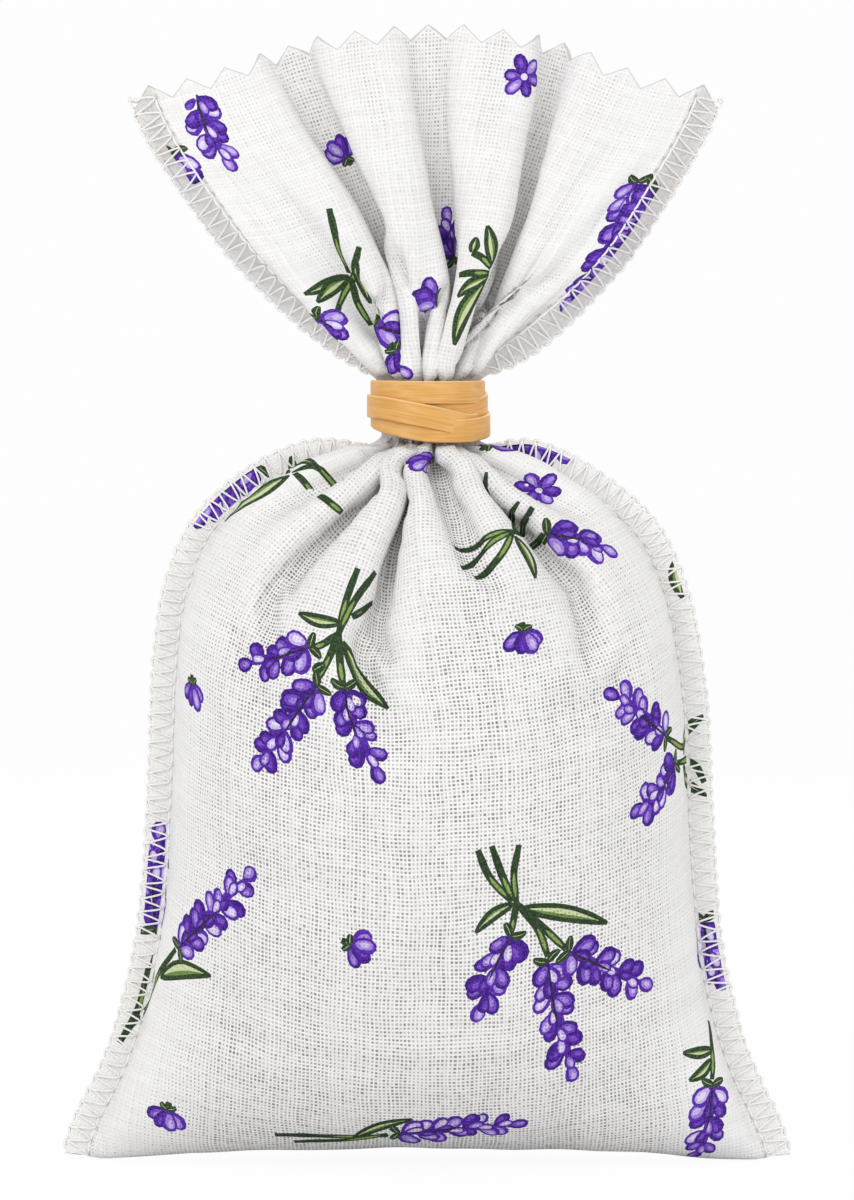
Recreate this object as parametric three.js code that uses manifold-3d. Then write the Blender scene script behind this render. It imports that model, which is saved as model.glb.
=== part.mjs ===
// A lavender sachet: one strip of open-weave linen, folded at the bottom, overlocked along both sides,
// filled with dried lavender and gathered at the neck by a wound rubber band.
// Millimetres, +Z up, the printed front towards -Y. The origin is the middle of the base.
import * as THREE from 'three';
import { mergeVertices } from 'three/addons/utils/BufferGeometryUtils.js';
import Module from 'manifold-3d';

const wasm = await Module();
wasm.setup();

// Pouch, from the floor up
const clothThickness = 0.6;
const baseLength = 94;
const baseDepth = 20;
const earSpan = 109.2;
const earDepth = 25;
const earHeight = 1.6;
const skirtWidth = 94;
const skirtDepth = 46;
const skirtHeight = 18.5;
const bellyWidth = 84.4;
const bellyDepth = 54;
const bellyHeight = 47;
const chestWidth = 82;
const chestDepth = 53;
const chestHeight = 70;

// Shoulders, measured down from the lower end of the neck
const shoulderWidth = 73.8;
const shoulderDepth = 43;
const shoulderDrop = 16.7;
const slopeWidth = 55.4;
const slopeDepth = 31;
const slopeDrop = 5.7;
const collarWidth = 27;
const collarDepth = 20;
const collarDrop = 0.8;

// Neck, the bundled cloth that the band grips
const neckBottom = 107.2;
const neckLength = 11.2;
const neckWidth = 11.2;
const neckDepth = 13.7;
const neckBore = 3;

// Ruffle, measured up from the upper end of the neck
const flareWidth = 24;
const flareDepth = 15;
const flareRise = 1.2;
const fanWidth = 48;
const fanDepth = 17.4;
const fanRise = 12;
const mouthWidth = 89.2;
const mouthDepth = 13.8;
const cornerRise = 41.1;
const crownRise = 53.1;
const toothPitch = 5;
const toothDepth = 2;

// Valleys that the gathering leaves between the folds. Each has its place across the front at the neck and far
// from it, from -1 at the left seam to 1 at the right one. The back has the same ones, seen from behind
const pouchValleys = [[-0.37, -0.81], [-0.08, -0.28], [0.53, 0.7]];
const pouchValleyDepth = 4.2;
const gatherReach = 8;
const gatherRun = 40;
const ruffleValleys = [[-0.1, -0.46], [0.03, 0], [0.45, 0.37]];
const ruffleValleyDepth = 4;
const ruffleReach = 12;
const valleyRun = 40;
const valleyHalfWidth = 3.4;

// Overlocked side seams
const seamWidth = 3.6;
const seamTaper = 12;
const threadDiameter = 0.5;
const stitchLength = 2.1;
const needleInset = 0.65;
const looperInset = 0.4;
const threadSpacing = 0.85;

// Rubber band, wound round the neck and back over itself
const strandWidth = 1.7;
const strandThickness = 0.7;
const strandGap = 0.45;
const windings = 3;
const liftTurn = 0.2;

// Fits and fill
const clearance = 0.3;
const bandClearance = 0.4;
const seamMargin = 1;
const boreReach = 6;

// Faces
const pointsAcross = 34;
const fillPointsAcross = 12;
const ringsPerStation = 2;
const bandStepsPerTurn = 24;
const threadSides = 3;
const edgeSamples = 240;
const crownPower = 0.5;

const neckTop = neckBottom + neckLength;
const crownHeight = neckTop + crownRise;
const finHalf = clothThickness;
const neckFin = clothThickness / 2;
const threadRadius = threadDiameter / 2;
const threadLift = clearance + threadRadius;
const threadSide = finHalf + threadLift;

const mix = THREE.MathUtils.lerp;
const smoothstep = (value, from, to) => THREE.MathUtils.smoothstep(value, from, to);

// A station holds half of the width, half of the depth and the height of the cloth's section
function station(width, depth, height) {
  return new THREE.Vector3(width / 2, depth / 2, height);
}

const pouchCurve = new THREE.CatmullRomCurve3([
  station(earSpan, earDepth, earHeight),
  station(skirtWidth, skirtDepth, skirtHeight),
  station(bellyWidth, bellyDepth, bellyHeight),
  station(chestWidth, chestDepth, chestHeight),
  station(shoulderWidth, shoulderDepth, neckBottom - shoulderDrop),
  station(slopeWidth, slopeDepth, neckBottom - slopeDrop),
  station(collarWidth, collarDepth, neckBottom - collarDrop),
  station(neckWidth, neckDepth, neckBottom),
]);

// Above the corners the ruffle's sides run on straight, to be trimmed by the pinked edge
const ruffleSpread = (mouthWidth - fanWidth) / (cornerRise - fanRise);
const blankRise = crownRise + toothDepth;
const blankWidth = mouthWidth + ruffleSpread * (blankRise - cornerRise);
const ruffleCurve = new THREE.CatmullRomCurve3([
  station(neckWidth, neckDepth, neckTop),
  station(flareWidth, flareDepth, neckTop + flareRise),
  station(fanWidth, fanDepth, neckTop + fanRise),
  station(mouthWidth, mouthDepth, neckTop + cornerRise),
  station(blankWidth, mouthDepth, neckTop + blankRise),
]);

function distanceFromNeck(height) {
  return Math.max(neckBottom - height, height - neckTop, 0);
}

// One side's edge of the cloth as a line of (half width, height) points, with its running length
function makeSeamEdge() {
  const pouch = pouchCurve.getSpacedPoints(edgeSamples);
  const ruffle = ruffleCurve.getSpacedPoints(edgeSamples);
  const points = [...pouch, ...ruffle].map((p) => new THREE.Vector2(p.x, p.z));
  const lengths = [0];
  for (let i = 1; i < points.length; i += 1) {
    lengths.push(lengths[i - 1] + points[i].distanceTo(points[i - 1]));
  }
  return { points, lengths, neckStart: lengths[edgeSamples], neckEnd: lengths[edgeSamples + 1] };
}

const seamEdge = makeSeamEdge();

function pointOnEdge(length) {
  const { points, lengths } = seamEdge;
  let i = 1;
  while (i < points.length - 1 && lengths[i] < length) {
    i += 1;
  }
  const share = (length - lengths[i - 1]) / (lengths[i] - lengths[i - 1]);
  return points[i - 1].clone().lerp(points[i], share);
}

// A point beside the edge: inset is measured square to it, towards the middle of the cloth
function besideEdge(length, inset) {
  const reach = threadDiameter;
  const edge = pointOnEdge(length);
  const along = pointOnEdge(length + reach).sub(pointOnEdge(length - reach)).normalize();
  return new THREE.Vector2(edge.x - along.y * inset, edge.y + along.x * inset);
}

function alongFromNeck(length) {
  return Math.max(seamEdge.neckStart - length, length - seamEdge.neckEnd, 0);
}

// How much of the seam's width is left at a running distance from the gathered neck
function seamTaperAt(distance) {
  return smoothstep(distance, 0, seamTaper);
}

// The line where the seam's two flat layers part and the cloth begins to bulge
const seamInnerLine = seamEdge.lengths.map((length) => {
  return besideEdge(length, mix(neckFin, seamWidth, seamTaperAt(alongFromNeck(length))));
});

// Half of the width inside the seams at a height, at the innermost crossing of that line
function innerHalfWidth(height, halfWidth) {
  let half = halfWidth - neckFin;
  for (let i = 1; i < seamInnerLine.length; i += 1) {
    const below = seamInnerLine[i - 1];
    const above = seamInnerLine[i];
    if ((below.y - height) * (above.y - height) <= 0 && below.y !== above.y) {
      half = Math.min(half, mix(below.x, above.x, (height - below.y) / (above.y - below.y)));
    }
  }
  return half;
}

// Sections of the cloth, each with its slope, from the base to the top of the uncut ruffle
function makeSections() {
  const sections = [{ halfWidth: baseLength / 2, halfDepth: baseDepth / 2, height: 0, fin: neckFin, slope: 0 }];
  for (const curve of [pouchCurve, ruffleCurve]) {
    const count = (curve.points.length - 1) * ringsPerStation;
    for (let i = 0; i <= count; i += 1) {
      const point = curve.getPoint(i / count);
      const tangent = curve.getTangent(i / count);
      const rise = Math.max(Math.abs(tangent.z), 1e-3);
      sections.push({
        halfWidth: point.x,
        halfDepth: point.y,
        height: point.z,
        fin: point.x - innerHalfWidth(point.z, point.x),
        slope: Math.abs(tangent.y) / rise,
      });
    }
  }
  return sections;
}

const sections = makeSections();

// How deep the valleys are at a height. They begin at the neck, and the filled pouch soon smooths them out
function valleyDepthAt(height) {
  if (height > neckTop) {
    return ruffleValleyDepth * smoothstep(height - neckTop, 0, ruffleReach);
  }
  const away = distanceFromNeck(height);
  return pouchValleyDepth * smoothstep(away, 0, gatherReach) * (1 - smoothstep(away, gatherReach, gatherRun));
}

// How far a place lies down in the valleys, from 0 on a fold to 1 in the middle of a valley
function valleyShare({ height, halfWidth, fin }, share) {
  const valleys = height > neckTop ? ruffleValleys : pouchValleys;
  const run = Math.min(distanceFromNeck(height) / valleyRun, 1);
  const parts = valleys.map(([near, far]) => {
    const across = (share - mix(near, far, run)) * (halfWidth - fin);
    return Math.exp(-((across / valleyHalfWidth) ** 2));
  });
  return Math.max(...parts);
}

// Half of the cloth's depth where share runs from 1 at the right seam to -1 at the left one
function bulge(section, share) {
  const crown = (1 - share * share) ** crownPower;
  const valley = valleyDepthAt(section.height) * valleyShare(section, share) * (1 - share * share);
  return finHalf + (section.halfDepth - finHalf) * crown - valley;
}

// Shares are spaced closer together near the seams, where the section curves most
function shareAt(i, count) {
  const even = 1 - (2 * i) / count;
  const round = Math.cos((Math.PI * i) / count);
  return mix(even, round, 0.5);
}

function outerRing(section) {
  const { halfWidth, fin, height } = section;
  const back = [new THREE.Vector3(halfWidth, finHalf, height)];
  const front = [new THREE.Vector3(halfWidth, -finHalf, height)];
  for (let i = 0; i <= pointsAcross; i += 1) {
    const share = shareAt(i, pointsAcross);
    const x = (halfWidth - fin) * share;
    back.push(new THREE.Vector3(x, bulge(section, -share), height));
    front.push(new THREE.Vector3(x, -bulge(section, share), height));
  }
  back.push(new THREE.Vector3(-halfWidth, finHalf, height));
  front.push(new THREE.Vector3(-halfWidth, -finHalf, height));
  return { back, front };
}

// The space inside the cloth, which narrows to the bore of the bundled neck
function innerRing(section, height) {
  const { halfWidth, fin, slope } = section;
  const packed = 1 - smoothstep(distanceFromNeck(section.height), clearance, boreReach);
  const wall = clothThickness * Math.hypot(1, slope);
  const half = mix(halfWidth - fin - seamMargin, neckBore / 2, packed);
  const back = [];
  const front = [];
  for (let i = 0; i <= pointsAcross; i += 1) {
    const share = shareAt(i, pointsAcross);
    const bore = (neckBore / 2) * Math.sqrt(1 - share * share) + clothThickness / 4;
    const backOpen = Math.max(bulge(section, -share) - wall, clothThickness / 2);
    const frontOpen = Math.max(bulge(section, share) - wall, clothThickness / 2);
    back.push(new THREE.Vector3(half * share, mix(backOpen, bore, packed), height));
    front.push(new THREE.Vector3(half * share, -mix(frontOpen, bore, packed), height));
  }
  return { back, front };
}

// The fill stays clear of the cloth, behind the inner side of every valley
function fillRing(section, height) {
  const { halfWidth, fin, slope } = section;
  const wall = clothThickness * Math.hypot(1, slope) + clearance;
  const half = halfWidth - fin - seamMargin - clearance;
  const back = [];
  const front = [];
  for (let i = 0; i <= fillPointsAcross; i += 1) {
    const share = shareAt(i, fillPointsAcross);
    const crown = (1 - share * share) ** crownPower;
    const deep = finHalf + (section.halfDepth - finHalf) * crown - valleyDepthAt(section.height) - wall;
    const y = Math.max(deep, clothThickness / 4);
    back.push(new THREE.Vector3(half * share, y, height));
    front.push(new THREE.Vector3(half * share, -y, height));
  }
  return { back, front };
}

function geometryFrom(vertices, triangles) {
  const geometry = new THREE.BufferGeometry();
  const numbers = vertices.flatMap((v) => [v.x, v.y, v.z]);
  geometry.setAttribute('position', new THREE.Float32BufferAttribute(numbers, 3));
  geometry.setIndex(triangles.flat());
  return geometry;
}

// A closed skin over a stack of rings. Each end is bridged from its back row to its front row
function loft(rings) {
  const size = rings[0].back.length * 2;
  const row = rings[0].back.length;
  const vertices = rings.flatMap((ring) => [...ring.back, ...ring.front.toReversed()]);
  const triangles = [];
  for (let k = 0; k < rings.length - 1; k += 1) {
    for (let i = 0; i < size; i += 1) {
      const a = k * size + i;
      const b = k * size + ((i + 1) % size);
      triangles.push([a, b, b + size], [a, b + size, a + size]);
    }
  }
  const top = (rings.length - 1) * size;
  for (let i = 0; i < row - 1; i += 1) {
    const across = size - 1 - i;
    triangles.push([i, across - 1, i + 1], [i, across, across - 1]);
    triangles.push([top + i, top + i + 1, top + across - 1], [top + i, top + across - 1, top + across]);
  }
  return geometryFrom(vertices, triangles);
}

function toSolid(geometry) {
  const bare = geometry.clone();
  bare.deleteAttribute('normal');
  bare.deleteAttribute('uv');
  const merged = mergeVertices(bare, 1e-4);
  const vertProperties = new Float32Array(merged.attributes.position.array);
  const triVerts = new Uint32Array(merged.index.array);
  return new wasm.Manifold(new wasm.Mesh({ numProp: 3, vertProperties, triVerts }));
}

function fromSolid(solid) {
  const mesh = solid.getMesh();
  const geometry = new THREE.BufferGeometry();
  geometry.setAttribute('position', new THREE.BufferAttribute(mesh.vertProperties, 3));
  geometry.setIndex(new THREE.BufferAttribute(mesh.triVerts, 1));
  return geometry;
}

// Height of the ruffle's edge at the tips of its teeth
function crownAt(x) {
  return crownHeight - (crownRise - cornerRise) * (x / (mouthWidth / 2)) ** 2;
}

// The waste above the pinked edge
function makePinkingCut() {
  const teeth = Math.ceil(blankWidth / 2 / toothPitch) + 1;
  const outline = new THREE.Shape();
  outline.moveTo(-teeth * toothPitch, crownHeight + toothPitch * 2);
  for (let i = -teeth; i < teeth; i += 1) {
    const tip = i * toothPitch;
    const notch = tip + toothPitch / 2;
    outline.lineTo(tip, crownAt(tip));
    outline.lineTo(notch, crownAt(notch) - toothDepth);
  }
  outline.lineTo(teeth * toothPitch, crownAt(teeth * toothPitch));
  outline.lineTo(teeth * toothPitch, crownHeight + toothPitch * 2);
  const depth = bellyDepth;
  const cut = new THREE.ExtrudeGeometry(outline, { depth, bevelEnabled: false });
  cut.translate(0, 0, -depth / 2);
  cut.rotateX(Math.PI / 2);
  return toSolid(cut);
}

function makeCloth() {
  const blank = toSolid(loft(sections.map(outerRing)));
  const inside = sections.map((section) => innerRing(section, Math.max(section.height, clothThickness)));
  const last = sections.at(-1);
  inside.push(innerRing(last, last.height + toothPitch));
  return fromSolid(blank.subtract(toSolid(loft(inside))).subtract(makePinkingCut()));
}

// Dried lavender, heaped up to the slope of the shoulders
function makeFill() {
  const floor = clothThickness + clearance;
  const heaped = sections.filter((section) => section.height <= neckBottom - slopeDrop + clearance);
  return loft(heaped.map((section) => fillRing(section, Math.max(section.height, floor))));
}

// A thread along a line of points, with mitred corners
function sweepThread(points) {
  const acrossCloth = new THREE.Vector3(0, 1, 0);
  const sharpest = 0.6;
  const vertices = [];
  const triangles = [];
  const last = points.length - 1;
  points.forEach((point, i) => {
    const before = point.clone().sub(points[Math.max(i - 1, 0)]).normalize();
    const after = points[Math.min(i + 1, last)].clone().sub(point).normalize();
    const along = before.clone().add(after).normalize();
    const side = new THREE.Vector3().crossVectors(along, acrossCloth).normalize();
    const up = new THREE.Vector3().crossVectors(along, side);
    const mitre = 1 / Math.max(along.dot(i < last ? after : before), sharpest);
    for (let j = 0; j < threadSides; j += 1) {
      const angle = (2 * Math.PI * j) / threadSides;
      const ring = point.clone();
      ring.addScaledVector(side, Math.cos(angle) * threadRadius * mitre);
      ring.addScaledVector(up, Math.sin(angle) * threadRadius);
      vertices.push(ring);
    }
  });
  for (let k = 0; k < last; k += 1) {
    for (let j = 0; j < threadSides; j += 1) {
      const a = k * threadSides + j;
      const b = k * threadSides + ((j + 1) % threadSides);
      triangles.push([a, b, b + threadSides], [a, b + threadSides, a + threadSides]);
    }
  }
  for (let j = 1; j < threadSides - 1; j += 1) {
    const end = last * threadSides;
    triangles.push([0, j + 1, j], [end, end + j, end + j + 1]);
  }
  return geometryFrom(vertices, triangles);
}

function threadPoint(side, length, inset, y) {
  const place = besideEdge(length, inset);
  return new THREE.Vector3(side * place.x, y, place.y);
}

// The seam runs from just above the ear to just below the pinked corner
const seamStart = stitchLength;
function findSeamEnd() {
  let length = seamEdge.neckEnd + seamTaper;
  while (pointOnEdge(length).y < crownAt(pointOnEdge(length).x) - toothDepth - stitchLength / 2) {
    length += threadRadius;
  }
  return length;
}
const seamEnd = findSeamEnd();
const stitches = Math.floor((seamEnd - seamStart) / stitchLength);

// The needle's line holds the seam along its inner side. At the neck it lies outside the bundled cloth
function makeNeedleThread(side) {
  const points = [];
  for (let i = 0; i <= stitches; i += 1) {
    const length = seamStart + i * stitchLength;
    const full = seamTaperAt(alongFromNeck(length));
    const inset = mix(-threadLift, seamWidth - needleInset, full);
    points.push(threadPoint(side, length, inset, -threadSide));
  }
  return sweepThread(points);
}

// A looper's thread runs to and fro between the needle's line and the edge, on one face of the cloth
function makeLooperThread(side, face) {
  const points = [];
  for (let i = 0; i <= stitches * 2; i += 1) {
    const length = seamStart + (i * stitchLength) / 2;
    const away = alongFromNeck(length);
    const full = smoothstep(away, seamTaper * 0.4, seamTaper);
    const atEdge = mix(-threadLift, looperInset, full);
    const atNeedle = mix(-threadLift, seamWidth - needleInset - threadSpacing, full);
    const inset = i % 2 === 0 ? atEdge : atNeedle;
    const onFace = face < 0 ? smoothstep(away, seamTaper / 3, seamTaper * 0.6) : 1;
    points.push(threadPoint(side, length, inset, face * threadSide * onFace));
  }
  return sweepThread(points);
}

// The band goes down the neck in level turns, then climbs back over them to where it began
function bandPath() {
  const facet = Math.cos(Math.PI / bandStepsPerTurn);
  const innerRadius = (neckDepth / 2 + bandClearance) / facet + strandThickness / 2;
  const layer = strandThickness + strandGap / facet;
  const pitch = strandWidth + strandGap;
  const top = (neckBottom + neckTop) / 2 + (windings * pitch) / 2;
  const bottom = top - windings * pitch;
  const path = [];
  for (let i = 0; i < (windings + 1) * bandStepsPerTurn; i += 1) {
    const turn = i / bandStepsPerTurn;
    const back = turn - windings;
    const lifted = smoothstep(back, 0, liftTurn) - smoothstep(back, 1 - liftTurn, 1);
    const climb = smoothstep(back, liftTurn, 1 - liftTurn);
    const climbing = mix(bottom - pitch * liftTurn, top + pitch * liftTurn, climb);
    let height = top - pitch * turn;
    if (back > liftTurn) {
      height = back < 1 - liftTurn ? climbing : top + pitch * (1 - back);
    }
    path.push({ angle: 2 * Math.PI * turn, radius: innerRadius + layer * Math.max(lifted, 0), height });
  }
  return path;
}

// Strands that pass the same point of the neck are measured against each other
function leastBandGap(path) {
  let least = Infinity;
  for (let i = 0; i < path.length; i += 1) {
    for (let j = i + bandStepsPerTurn; j < path.length; j += bandStepsPerTurn) {
      const apart = Math.max(Math.abs(path[i].height - path[j].height) - strandWidth, 0);
      const proud = Math.max(Math.abs(path[i].radius - path[j].radius) - strandThickness, 0);
      least = Math.min(least, Math.hypot(apart, proud));
    }
  }
  return least;
}

function makeBand() {
  const path = bandPath();
  console.log(`least gap of the band to itself ${leastBandGap(path).toFixed(2)} mm`);
  const corners = [[-1, -1], [-1, 1], [1, 1], [1, -1]];
  const vertices = [];
  const triangles = [];
  for (const { angle, radius, height } of path) {
    for (const [out, up] of corners) {
      const r = radius + (out * strandThickness) / 2;
      const z = height + (up * strandWidth) / 2;
      vertices.push(new THREE.Vector3(r * Math.cos(angle), r * Math.sin(angle), z));
    }
  }
  for (let k = 0; k < path.length; k += 1) {
    const here = k * corners.length;
    const next = ((k + 1) % path.length) * corners.length;
    for (let j = 0; j < corners.length; j += 1) {
      const beside = (j + 1) % corners.length;
      triangles.push([here + j, here + beside, next + beside], [here + j, next + beside, next + j]);
    }
  }
  return geometryFrom(vertices, triangles);
}

const linen = new THREE.MeshStandardMaterial({ color: 0xeeecea, roughness: 0.95, metalness: 0 });
const lavender = new THREE.MeshStandardMaterial({ color: 0x7a6f8f, roughness: 1, metalness: 0 });
const rubber = new THREE.MeshStandardMaterial({ color: 0xe0a95c, roughness: 0.5, metalness: 0 });
const thread = new THREE.MeshStandardMaterial({ color: 0xf6f4f0, roughness: 0.8, metalness: 0 });

function addPiece(group, name, geometry, material) {
  const mesh = new THREE.Mesh(geometry, material);
  mesh.name = name;
  group.add(mesh);
}

const sachet = new THREE.Group();
addPiece(sachet, 'linen_cloth', makeCloth(), linen);
addPiece(sachet, 'lavender_fill', makeFill(), lavender);
addPiece(sachet, 'rubber_band', makeBand(), rubber);
for (const [name, side] of [['left', -1], ['right', 1]]) {
  addPiece(sachet, `${name}_needle_thread`, makeNeedleThread(side), thread);
  addPiece(sachet, `${name}_upper_looper_thread`, makeLooperThread(side, -1), thread);
  addPiece(sachet, `${name}_lower_looper_thread`, makeLooperThread(side, 1), thread);
}

export default sachet;
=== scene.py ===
import math

import bpy
import numpy as np
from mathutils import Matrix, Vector
from mathutils.geometry import delaunay_2d_cdt


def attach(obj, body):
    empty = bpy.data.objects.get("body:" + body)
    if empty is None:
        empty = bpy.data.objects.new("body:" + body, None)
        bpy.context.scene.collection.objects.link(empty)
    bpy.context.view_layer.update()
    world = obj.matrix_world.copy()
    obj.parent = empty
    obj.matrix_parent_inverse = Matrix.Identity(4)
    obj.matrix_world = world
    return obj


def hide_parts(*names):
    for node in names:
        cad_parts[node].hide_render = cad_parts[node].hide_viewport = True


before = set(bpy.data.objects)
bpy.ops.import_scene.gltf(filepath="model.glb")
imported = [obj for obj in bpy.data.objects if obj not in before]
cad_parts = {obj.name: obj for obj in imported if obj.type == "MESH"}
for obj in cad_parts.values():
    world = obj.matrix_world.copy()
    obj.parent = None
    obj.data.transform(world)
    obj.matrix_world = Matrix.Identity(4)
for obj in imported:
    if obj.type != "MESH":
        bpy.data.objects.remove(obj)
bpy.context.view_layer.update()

# All sizes below are in millimetres. X is to the right, the printed front faces -Y, Z is up.
MM = 0.001
TINY = 1e-9
# The share of a direction along an axis above which another axis guides its cross section
GUIDE_LIMIT = 0.9

# The strip of linen before sewing. It is folded once at the bottom, so each panel is half of it.
STRIP_WIDTH = 110.0
PANEL_LENGTH = 190.0
HALF_WIDTH = STRIP_WIDTH / 2
CLOTH_THICKNESS = 0.44
SEAM_WIDTH = 3.6
NEEDLE_LINE = HALF_WIDTH - SEAM_WIDTH
LAYER_GAP = 0.25
TEETH = 17
TOOTH_DEPTH = 2.4
BACK_TRIM = 1.4

# Distances along a panel, from the bottom fold: where the band's place starts and ends.
NECK_FROM = 127.0
NECK_TO = 136.0
NECK_MIDDLE = (NECK_FROM + NECK_TO) / 2
# Heights of the band's place, and the half depth and half width of the cloth in it
NECK_LOW = 108.0
NECK_HIGH = 117.8
NECK_HALF_DEPTH = 6.3
NECK_EDGE = 7.05
# The share by which the seams are narrower in the neck, and how far that reaches
NECK_NARROWING = 0.72
NECK_REACH = 7.0
# The radius that the turning band sweeps, and the room that the cloth leaves above and below it
BAND_OUTER = 9.9
BAND_ROOM = 0.5

# The seam's edge as it lies on the filled sachet: (distance from the middle, height).
LEFT_POUCH_EDGE = [(54.7, 1.0), (53.1, 6.5), (49.9, 12.5), (47.4, 18.5), (44.2, 30.5), (42.6, 43.0),
                   (41.6, 60.5), (41.3, 71.0), (40.0, 84.0), (36.9, 93.5), (32.7, 99.5), (24.9, 105.4),
                   (17.8, 108.2), (12.6, 108.2), (8.8, 106.4)]
RIGHT_POUCH_EDGE = [(54.5, 0.8), (52.6, 6.5), (49.6, 12.5), (47.2, 18.5), (44.3, 30.5), (43.0, 43.0),
                    (42.1, 60.5), (41.5, 71.0), (39.3, 84.0), (35.8, 93.5), (30.9, 99.5), (22.6, 105.4),
                    (16.4, 108.2), (12.4, 108.2), (8.8, 106.4)]
LEFT_RUFFLE_EDGE = [(7.6, 118.5), (12.2, 120.4), (20.2, 126.5), (29.2, 135.4), (36.0, 144.4),
                    (42.0, 153.4), (44.8, 160.4)]
RIGHT_RUFFLE_EDGE = [(8.2, 118.6), (14.2, 120.4), (21.6, 126.5), (29.8, 135.4), (35.8, 144.4),
                     (41.2, 153.4), (44.2, 160.4)]
# The middle line of a panel: (depth, height).
POUCH_MIDDLE = [(0.0, 3.1), (11.0, 4.5), (19.5, 14.0), (25.0, 38.0), (25.2, 60.0), (22.5, 80.0),
                (17.0, 95.0), (11.0, 104.0), (6.3, 108.0)]
RUFFLE_MIDDLE = [(6.3, 117.8), (5.2, 123.0), (4.4, 135.0), (3.6, 150.0), (3.2, 172.0)]
# The bottom fold is drawn up between its two lowest spots: (place across, height).
BOTTOM_FOLD = [(-55.0, 1.0), (-50.0, 0.5), (-45.0, 0.7), (-22.0, 2.5), (0.0, 3.1), (26.0, 2.5),
               (41.0, 0.7), (50.0, 0.4), (55.0, 0.8)]

# The cloth is gathered evenly at the neck, and lies in a few folds away from it.
NECK_GATHERS = 7
NECK_WAVE = 3.0
NECK_FOLD_DEPTH = 4.6
NECK_MARGIN = 2.0
FOLD_DEPTH = 9.0
GATHER_REACH = 10.0
# Valleys between the folds: place across near the neck, place across far from it, half width, depth share.
POUCH_VALLEYS = [(-24.0, -31.0, 4.6, 0.8), (-3.0, -11.5, 5.0, 0.9), (11.0, 11.0, 3.0, 0.25),
                 (26.5, 30.5, 4.6, 0.9)]
RUFFLE_VALLEYS = [(-18.0, -26.0, 6.0, 0.9), (8.0, -1.0, 5.5, 0.7), (36.0, 24.0, 4.6, 1.2)]
VALLEY_RUN = 45.0
# How a row is folded: its steepest slope, the largest scale of its wave, and how the folds fade at the seams
STEEPEST = 0.985
LARGEST_SCALE = 400.0
HALVINGS = 40
FOLD_FADE = 0.25
# The share by which the ruffle's weave is drawn together across, and the distance in which that begins
RUFFLE_EASE = 0.08
EASE_RUN = 20.0
# The distance above the band in which the ruffle's folds turn to the front and back
FLATTEN_RUN = 12.0

# The grid on which the cloth is settled
COLUMNS = 68
ROWS = 118
STEP_U = STRIP_WIDTH / COLUMNS
STEP_V = PANEL_LENGTH / ROWS
SEAM_COLUMNS = 2
EDGE_SMOOTHING = 3
ENVELOPE_POINTS = 300
SETTLE_ROUNDS = 400
SETTLE_PASSES = 3
# The push of the fill in each round, and the share of it that is lost at the top
FILL_PUSH = 0.007
PUSH_LOSS = 0.3
LOWEST = 0.5
PANEL_GAP = LAYER_GAP + 0.05
# How far past the neck, and from the bottom fold, the cloth is held still
NECK_HOLD = 0.5
FOLD_HOLD = 0.1
# What holds a point to its neighbours: rows apart, columns apart, stiffness, and whether it only pushes.
HOLDS = [(0, 2, 0.04, True), (2, 0, 0.12, True), (1, 1, 0.05, False), (1, -1, 0.05, False),
         (1, 0, 0.9, False), (0, 1, 0.9, False)]

# Small waves of the cloth
RIPPLE_SEED = 11
RIPPLES = 14
RIPPLE_PITCHES = (9, 26)
RIPPLE_HEIGHT = 0.16
FULL_RIPPLE_PITCH = 60
# Puckers along the stitched lines
PUCKER_PITCH = 5.6
PUCKER_DEPTH = 0.35
PUCKER_REACH = 3.5
PUCKER_DRIFT = 1.3
PUCKER_DRIFT_RUN = 7.0
# Distances in which the waves calm down: at the seams, the pinked edge, the neck and the bottom fold
SEAM_CALM = 4.0
EDGE_CALM = 14.0
EDGE_WAVES = 0.25
NECK_CALM = 9.0
FOLD_CALM = 6.0

# The cloth's mesh: points along its cut edge, and the spacing of points on its outer and inner side
BORDER_COLUMNS = 102
BORDER_ROWS = 350
OUTER_STEP = 1.4
INNER_STEP = 1.7 * OUTER_STEP
WELD = 1e-3
NORMAL_REACH = 0.25
FOLD_REACH = 3.5
# The picture for the baked colours: the gap between its parts, its width, and its margin as a share of that
BAKE_GAP = 2
BAKE_WIDTH = 2.5 * STRIP_WIDTH + 3 * BAKE_GAP
BAKE_MARGIN = 0.002
# How the front view is searched: spacing of the places, reach round a spot, and the weight of being near it
VIEW_STEP = 0.4
VIEW_REACH = 0.45
VIEW_SLACK = 0.05
NEARNESS = 2.0

# The print. A range holds the least and the greatest of what is drawn at random.
PRINT_SEED = 5
# Petals: the body and heart as shares of the rim's length and width, and how far they lie off its middle
PETAL_LENGTH = 3.6
PETAL_POINTS = 11
PETAL_UNEVEN = 0.06
PETAL_BLUNTNESS = 0.5
PETAL_MIDDLE = 0.56
PETAL_BODY = (0.72, 0.58)
PETAL_HEART = (0.46, 0.34)
BODY_LEAN_RANGE = (-0.09, 0.09)
HEART_SHIFT_RANGE = (-0.04, 0.1)
HEART_LEAN = 1.5
# Drawn lines: their width at the ends as a share, and the share of the length in which they thin
LINE_TAPER = 0.25
TAPER_RUN = 0.12
# Stems
STEM_POINTS = 5
STEM_WIDTH = 1.1
STEM_TAPER = 0.8
STEM_LIGHT = 0.42
# Leaves: a skew below one moves the widest place towards the foot, a bluntness below one fills the ends
LEAF_POINTS = 10
LEAF_BEND_RANGE = (-0.1, 0.1)
LEAF_SKEW = 0.85
LEAF_BLUNTNESS = 0.8
LEAF_LEAST = 0.25
LEAF_RIM = 0.66
LEAF_BODY_BLUNTNESS = 0.5
LEAF_BODY_LEAST = 0.05
LEAF_STREAK = 0.2
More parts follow.
